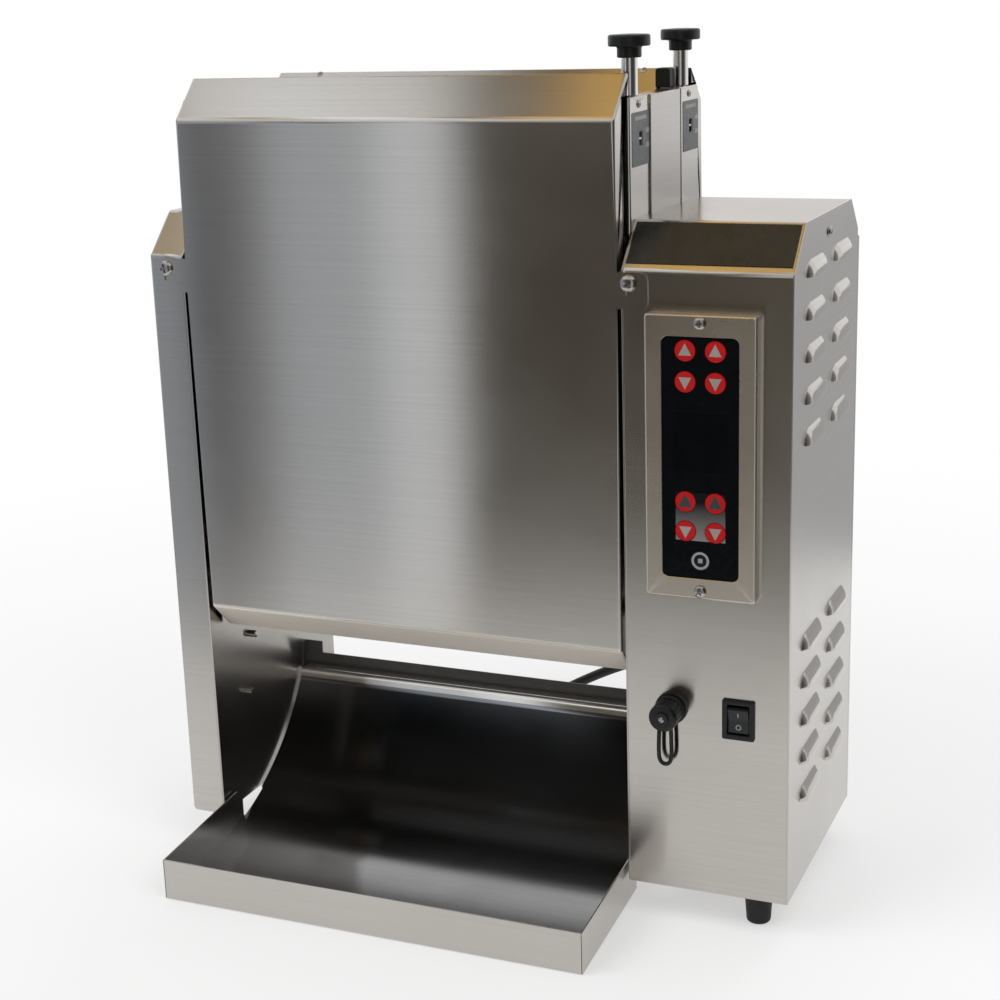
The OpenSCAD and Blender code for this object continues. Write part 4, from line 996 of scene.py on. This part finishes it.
def addAdjusters(v):
    drop, rise = v["threadLow"] - v["rodLow"], v["rodTop"] - v["rodLow"]
    profile = [(r, drop + h) for r, h in v["tip"]]
    for i in range(int((-drop - v["runOut"]) / v["pitch"])):
        profile += [(r, drop + v["pitch"] * i + h) for r, h in v["thread"]]
    profile += v["neck"] + [(v["rod"], rise), (0, rise)]
    for side, y in v["rows"].items():
        rod = turnProfile(side + "AdjusterRod", profile, place(v["x"], y, v["rodLow"]), up, 40, 30)
        settle(rod, "brightSteel", side + "_adjuster_screw")
        knob = turnProfile(side + "AdjusterKnob", v["knob"], place(v["x"], y, v["rodTop"]), up, 72, 30)
        settle(knob, "blackPlastic", side + "_adjuster_knob")


addAdjusters(adjusterValues)


# scale marks on the labels
labelValues = {
    "x": (400.78, 400.86), "z": 604.5, "rows": (48.0, 172.0), "ease": 0.01,
    "bars": [(-13, 13, 13.6, 16.4), (11.5, 18.5, 3.6, 7.0), (11.5, 18.5, -7.0, -3.6)],
    "ticks": range(-4, 5), "longEvery": 4, "tickFrom": 6.2, "longTo": 10.4, "shortTo": 8.6, "pitch": 1.6, "half": 0.18,
}


def addScaleMarks(v):
    bars = list(v["bars"])
    for i in v["ticks"]:
        end = v["shortTo"] if i % v["longEvery"] else v["longTo"]
        bars.append((v["tickFrom"], end, i * v["pitch"] - v["half"], i * v["pitch"] + v["half"]))
    back, front = v["x"]
    return joinPieces("scaleMarks", [
        block("scaleMark", (back, y + y0, v["z"] + z0), (front, y + y1, v["z"] + z1), v["ease"], 1)
        for y in v["rows"] for y0, y1, z0, z1 in bars
    ])


settle(addScaleMarks(labelValues), "greyPrint", body="machine")
print("adjusters and scales set")


# service port: cap with a screw in its face, and the loop that keeps it
portValues = {
    "x": 437.0, "z": 181.0, "capBack": -9.0,
    "cap": [
        (8.6, 0.2), (10.2, 0), (10.8, 0.4), (11.0, 1.0), (11.0, 13.4), (10.6, 14.8), (9.6, 15.8), (9.0, 16.0),
        (6.2, 16.0), (5.6, 16.3), (5.5, 17.4), (5.1, 18.0), (0, 18.0),
    ],
    "flutes": 18, "fluteAt": (11.35, 1.2), "flute": [(0, 0), (0.9, 0), (0.9, 12), (0, 12.6)],
    "screw": {**screwValues, "radius": 3.0, "height": 1.9, "recess": (3.4, 0.8, 0.9)}, "screwAt": (17.4, 30, 0.8),
}


def addPort(v):
    x, y, z = v["x"], v["capBack"], v["z"]
    cap = turnProfile("portCap", v["cap"], place(x, y, z), ahead, 72)
    out, forward = v["fluteAt"]
    flute = turnProfile("capFlute", v["flute"], place(x + out, y - forward, z), ahead, 16)
    turns = [turnAbout(place(x, 0, z), 2 * pi * i / v["flutes"], "Y") for i in range(v["flutes"])]
    flutes = [copyTo(flute, "capFlute", turn) for turn in turns]
    discard(flute)
    cutAway(cap, joinPieces("capFlutes", flutes))
    settleNormals(cap, 30)
    head = makeScrew(v["screw"])
    forward, turn, size = v["screwAt"]
    screw = setScrew(head, "capScrew", (x, y - forward, z), ahead, turn, size)
    discard(head)
    return joinPieces("portCap", [paint(cap, "blackPlastic"), paint(screw, "screwSteel")])


settle(addPort(portValues), None, "port_cap")
dressSolid("portBody", "port_body", 0.4)

tetherValues = {
    "x": 433.5, "y": -6.4, "z": 181.0, "collar": 10.3, "radius": 1.6, "steps": 5, "rounding": 3, "collarSteps": 14,
    "loop": [
        (-2.8, -9.7), (-4.0, -13), (-4.7, -19), (-5.0, -27), (-5.0, -36), (-4.4, -40.6), (-2.7, -43.4), (0, -44.4),
        (2.7, -43.4), (4.4, -40.6), (5.0, -36), (5.0, -27), (4.8, -19), (4.4, -13), (3.8, -9.4),
    ],
}


def addTether(v):
    points = [place(v["x"] + x, v["y"], v["z"] + z) for x, z in v["loop"]]
    loop = layTube("capTether", points, mm(v["radius"]), v["steps"], v["rounding"], False)
    takeUp(loop)
    bpy.ops.object.convert(target="MESH")
    angles = [2 * pi * i / v["collarSteps"] for i in range(v["collarSteps"] + 1)]
    section = [(v["collar"] + v["radius"] * cos(a), v["radius"] * sin(a)) for a in angles]
    collar = turnProfile("tetherCollar", section, place(portValues["x"], v["y"], v["z"]), ahead, 48)
    piece = joinPieces("capTether", [loop, collar])
    settleNormals(piece, 60)
    return piece


settle(addTether(tetherValues), "blackRubber", "cap_tether")


# feet: turned rubber that widens upwards, with a stud
footValues = {
    "places": ((15.5, 25), (15.5, 187), (499.5, 25), (499.5, 187)),
    "profile": [
        (0, 0), (7.2, 0), (8.5, 0.35), (9.3, 1.2), (9.6, 2.6), (10.0, 9), (10.7, 18), (11.3, 26), (11.4, 28.8),
        (11.1, 29.6), (10.4, 30), (4.0, 30), (4.0, 39.5), (3.5, 40), (0, 40),
    ],
}


def addFeet(v):
    template = turnProfile("footTemplate", v["profile"], Vector(), up, 56, 30)
    feet = [copyTo(template, "foot", Matrix.Translation(place(x, y, 0))) for x, y in v["places"]]
    discard(template)
    return joinPieces("rubberFeet", feet)


settle(addFeet(footValues), "blackRubber", "feet")
dressSolid("cordGland", "cord_gland", 0.6)
print("port, tether and feet set")


# stage: pale floor, soft light, and walls and ceilings that only the steel mirrors
stageValues = {
    "floorSize": 60.0, "floorDrop": 0.0003, "floorSpan": (0.3, 1.6), "floorShare": (0.45, 1), "floorTone": 0.93,
    "floorRoughness": 0.9, "floorLevel": 0.1, "worldLight": (0.62, 1.0),
}
lampValues = {
    "aim": (0, 0, 0.3),
    "lamps": [((-1.4, -1.6, 2.2), 1.8, 26.0), ((1.6, -0.9, 2.0), 1.4, 14.0), ((0.2, 1.8, 2.2), 1.6, 12.0)],
}
wallShape = {"low": 0.004, "steps": 60}
wallValues = {  # azimuth about the machine: 0 is the front, + is right; a colour or a grey at each azimuth
    "leftWall": {
        "radius": 0.75, "high": 0.88,
        "tones": [
            (-100, (0.54, 0.57, 0.61)), (-47, (0.365, 0.4, 0.45)), (-43.8, (0.115, 0.122, 0.134)),
            (-40, (0.265, 0.275, 0.295)), (-37, (0.51, 0.55, 0.6)), (-30.5, (0.525, 0.565, 0.61)),
            (-27.5, (0.8, 0.85, 0.91)), (-23.8, (0.8, 0.84, 0.885)), (-20.3, (0.058, 0.049, 0.036)),
            (-3, (0.062, 0.052, 0.037)), (14, (0.1, 0.086, 0.064)),
        ],
    },
    "rightWall": {
        "radius": 0.75, "high": 1.0,
        "tones": [(14, (0.1, 0.086, 0.064)), (26, 0.6), (38, 0.6), (46, 0.04), (84, 0.04), (108, 0.4)],
    },
    "rearWall": {
        "radius": 1.0, "high": 0.5,
        "tones": [(112, 0.8), (130, (0.52, 0.52, 0.53)), (172, (0.46, 0.46, 0.47)), (178, 0.9)],
    },
}
ceilingTones = [  # a tone at each place across
    (-1.62, (0.56, 0.43, 0.24)), (-1.43, (0.56, 0.43, 0.24)), (-1.36, (1.24, 1.26, 1.3)), (-1.15, (1.38, 1.42, 1.46)),
    (-0.86, 1.12), (-0.73, (0.31, 0.3, 0.26)), (-0.62, (0.42, 0.29, 0.165)), (-0.52, (1.08, 0.67, 0.185)),
    (0.6, (0.62, 0.47, 0.28)),
]
laneTones = [(-1.62, 0.01), (1.5, 0.01)]
ceilingValues = {  # the dark one is over the lanes, so that no light comes down them
    "frontCeiling": {"height": 2.4, "x": (-1.62, 0.6), "y": (-1.6, -0.04), "tones": ceilingTones},
    "laneCeiling": {"height": 2.4, "x": (-1.62, 1.5), "y": (-0.04, 0.21), "tones": laneTones},
    "rearCeiling": {"height": 2.4, "x": (-1.62, 0.6), "y": (0.21, 1.2), "tones": ceilingTones},
}


def addFloor(v):
    dropAll()
    bpy.ops.mesh.primitive_plane_add(size=v["floorSize"], location=(0, 0, -v["floorDrop"]))
    floor = bpy.context.object
    floor.name = "paleFloor"
    material, tree, shader, coords = startMaterial("paleFloor")
    feed(tree, shader, {
        "Base Color": (v["floorTone"],) * 3 + (1,), "Roughness": v["floorRoughness"],
        "Specular IOR Level": v["floorLevel"],
    })
    glow = addNode(tree, "Emission", {"Color": (1, 1, 1, 1), "Strength": 1.0})
    away = addNode(tree, "VectorMath", {0: coords}, operation="LENGTH").outputs["Value"]
    share = spread(tree, away, v["floorSpan"], v["floorShare"])
    share.node.interpolation_type = "SMOOTHSTEP"
    mix = addNode(tree, "MixShader", {0: share, 1: shader.outputs[0], 2: glow.outputs[0]})
    tree.links.new(mix.outputs[0], tree.nodes["Material Output"].inputs["Surface"])
    floor.data.materials.append(material)


def addWorld(v):  # full light where it is seen, less where it falls on the part
    world = bpy.data.worlds.new("studioWorld")
    scene.world = world
    world.use_nodes = True
    tree = world.node_tree
    rays = addNode(tree, "LightPath").outputs
    seen = reckon(tree, "MAXIMUM", rays["Is Camera Ray"], rays["Is Glossy Ray"])
    clear = reckon(tree, "MAXIMUM", seen, rays["Is Transmission Ray"])
    strength = spread(tree, clear, (0, 1), v["worldLight"])
    feed(tree, tree.nodes["Background"], {"Color": (1, 1, 1, 1), "Strength": strength})


def addLamps(v):
    for i, (at, size, watts) in enumerate(v["lamps"]):
        bpy.ops.object.light_add(type="AREA", location=at)
        lamp = bpy.context.object
        lamp.name = "softLamp%d" % i
        lamp.data.size = size
        lamp.data.energy = watts
        lamp.rotation_euler = (Vector(v["aim"]) - Vector(at)).to_track_quat("-Z", "Y").to_euler()
        lamp.visible_glossy = False


def glowByTone(tree, position, tones):  # an emission whose colour follows a position along a list of tones
    start, end = tones[0][0], tones[-1][0]
    scale = addNode(tree, "ValToRGB", {"Fac": spread(tree, position, (start, end))})
    elements = scale.color_ramp.elements
    while len(elements) < len(tones):
        elements.new(0.5)
    for element, (at, tone) in zip(elements, tones):
        element.position = (at - start) / (end - start)
        element.color = (*tone, 1) if isinstance(tone, tuple) else (tone, tone, tone, 1)
    glow = addNode(tree, "Emission", {"Color": scale.outputs["Color"], "Strength": 1.0})
    tree.links.new(glow.outputs[0], tree.nodes["Material Output"].inputs["Surface"])


def stageReflector(piece, material):  # seen in mirror-like faces only
    piece.data.materials.append(material)
    for rays in ("camera", "diffuse", "shadow", "transmission"):
        setattr(piece, "visible_" + rays, False)


def addWall(name, v):
    dropAll()
    tones = [(radians(azimuth), tone) for azimuth, tone in v["tones"]]
    start, end = tones[0][0], tones[-1][0]
    bpy.ops.mesh.primitive_grid_add(x_subdivisions=v["steps"], y_subdivisions=1, size=1)
    wall = bpy.context.object
    wall.name = name
    for vertex in wall.data.vertices:  # the grid is rolled into part of a cylinder
        angle = start + (end - start) * (vertex.co.x + 0.5)
        height = v["low"] if vertex.co.y < 0 else v["high"]
        vertex.co = (v["radius"] * sin(angle), -v["radius"] * cos(angle), height)
    material, tree, shader, coords = startMaterial(name)
    parts = addNode(tree, "SeparateXYZ", {0: coords}).outputs
    front = reckon(tree, "MULTIPLY", parts["Y"], -1.0)
    glowByTone(tree, reckon(tree, "ARCTAN2", parts["X"], front), tones)
    stageReflector(wall, material)


def addCeiling(name, v):
    dropAll()
    (x0, x1), (y0, y1) = v["x"], v["y"]
    bpy.ops.mesh.primitive_plane_add(size=1, location=((x0 + x1) / 2, (y0 + y1) / 2, v["height"]))
    card = bpy.context.object
    card.name = name
    card.scale = (x1 - x0, y1 - y0, 1)
    settlePlace(card)
    material, tree, shader, coords = startMaterial(name)
    glowByTone(tree, addNode(tree, "SeparateXYZ", {0: coords}).outputs["X"], v["tones"])
    stageReflector(card, material)


addFloor(stageValues)
addWorld(stageValues)
addLamps(lampValues)
for wallName, values in wallValues.items():
    addWall(wallName, {**wallShape, **values})
for ceilingName, values in ceilingValues.items():
    addCeiling(ceilingName, values)
print("stage set")
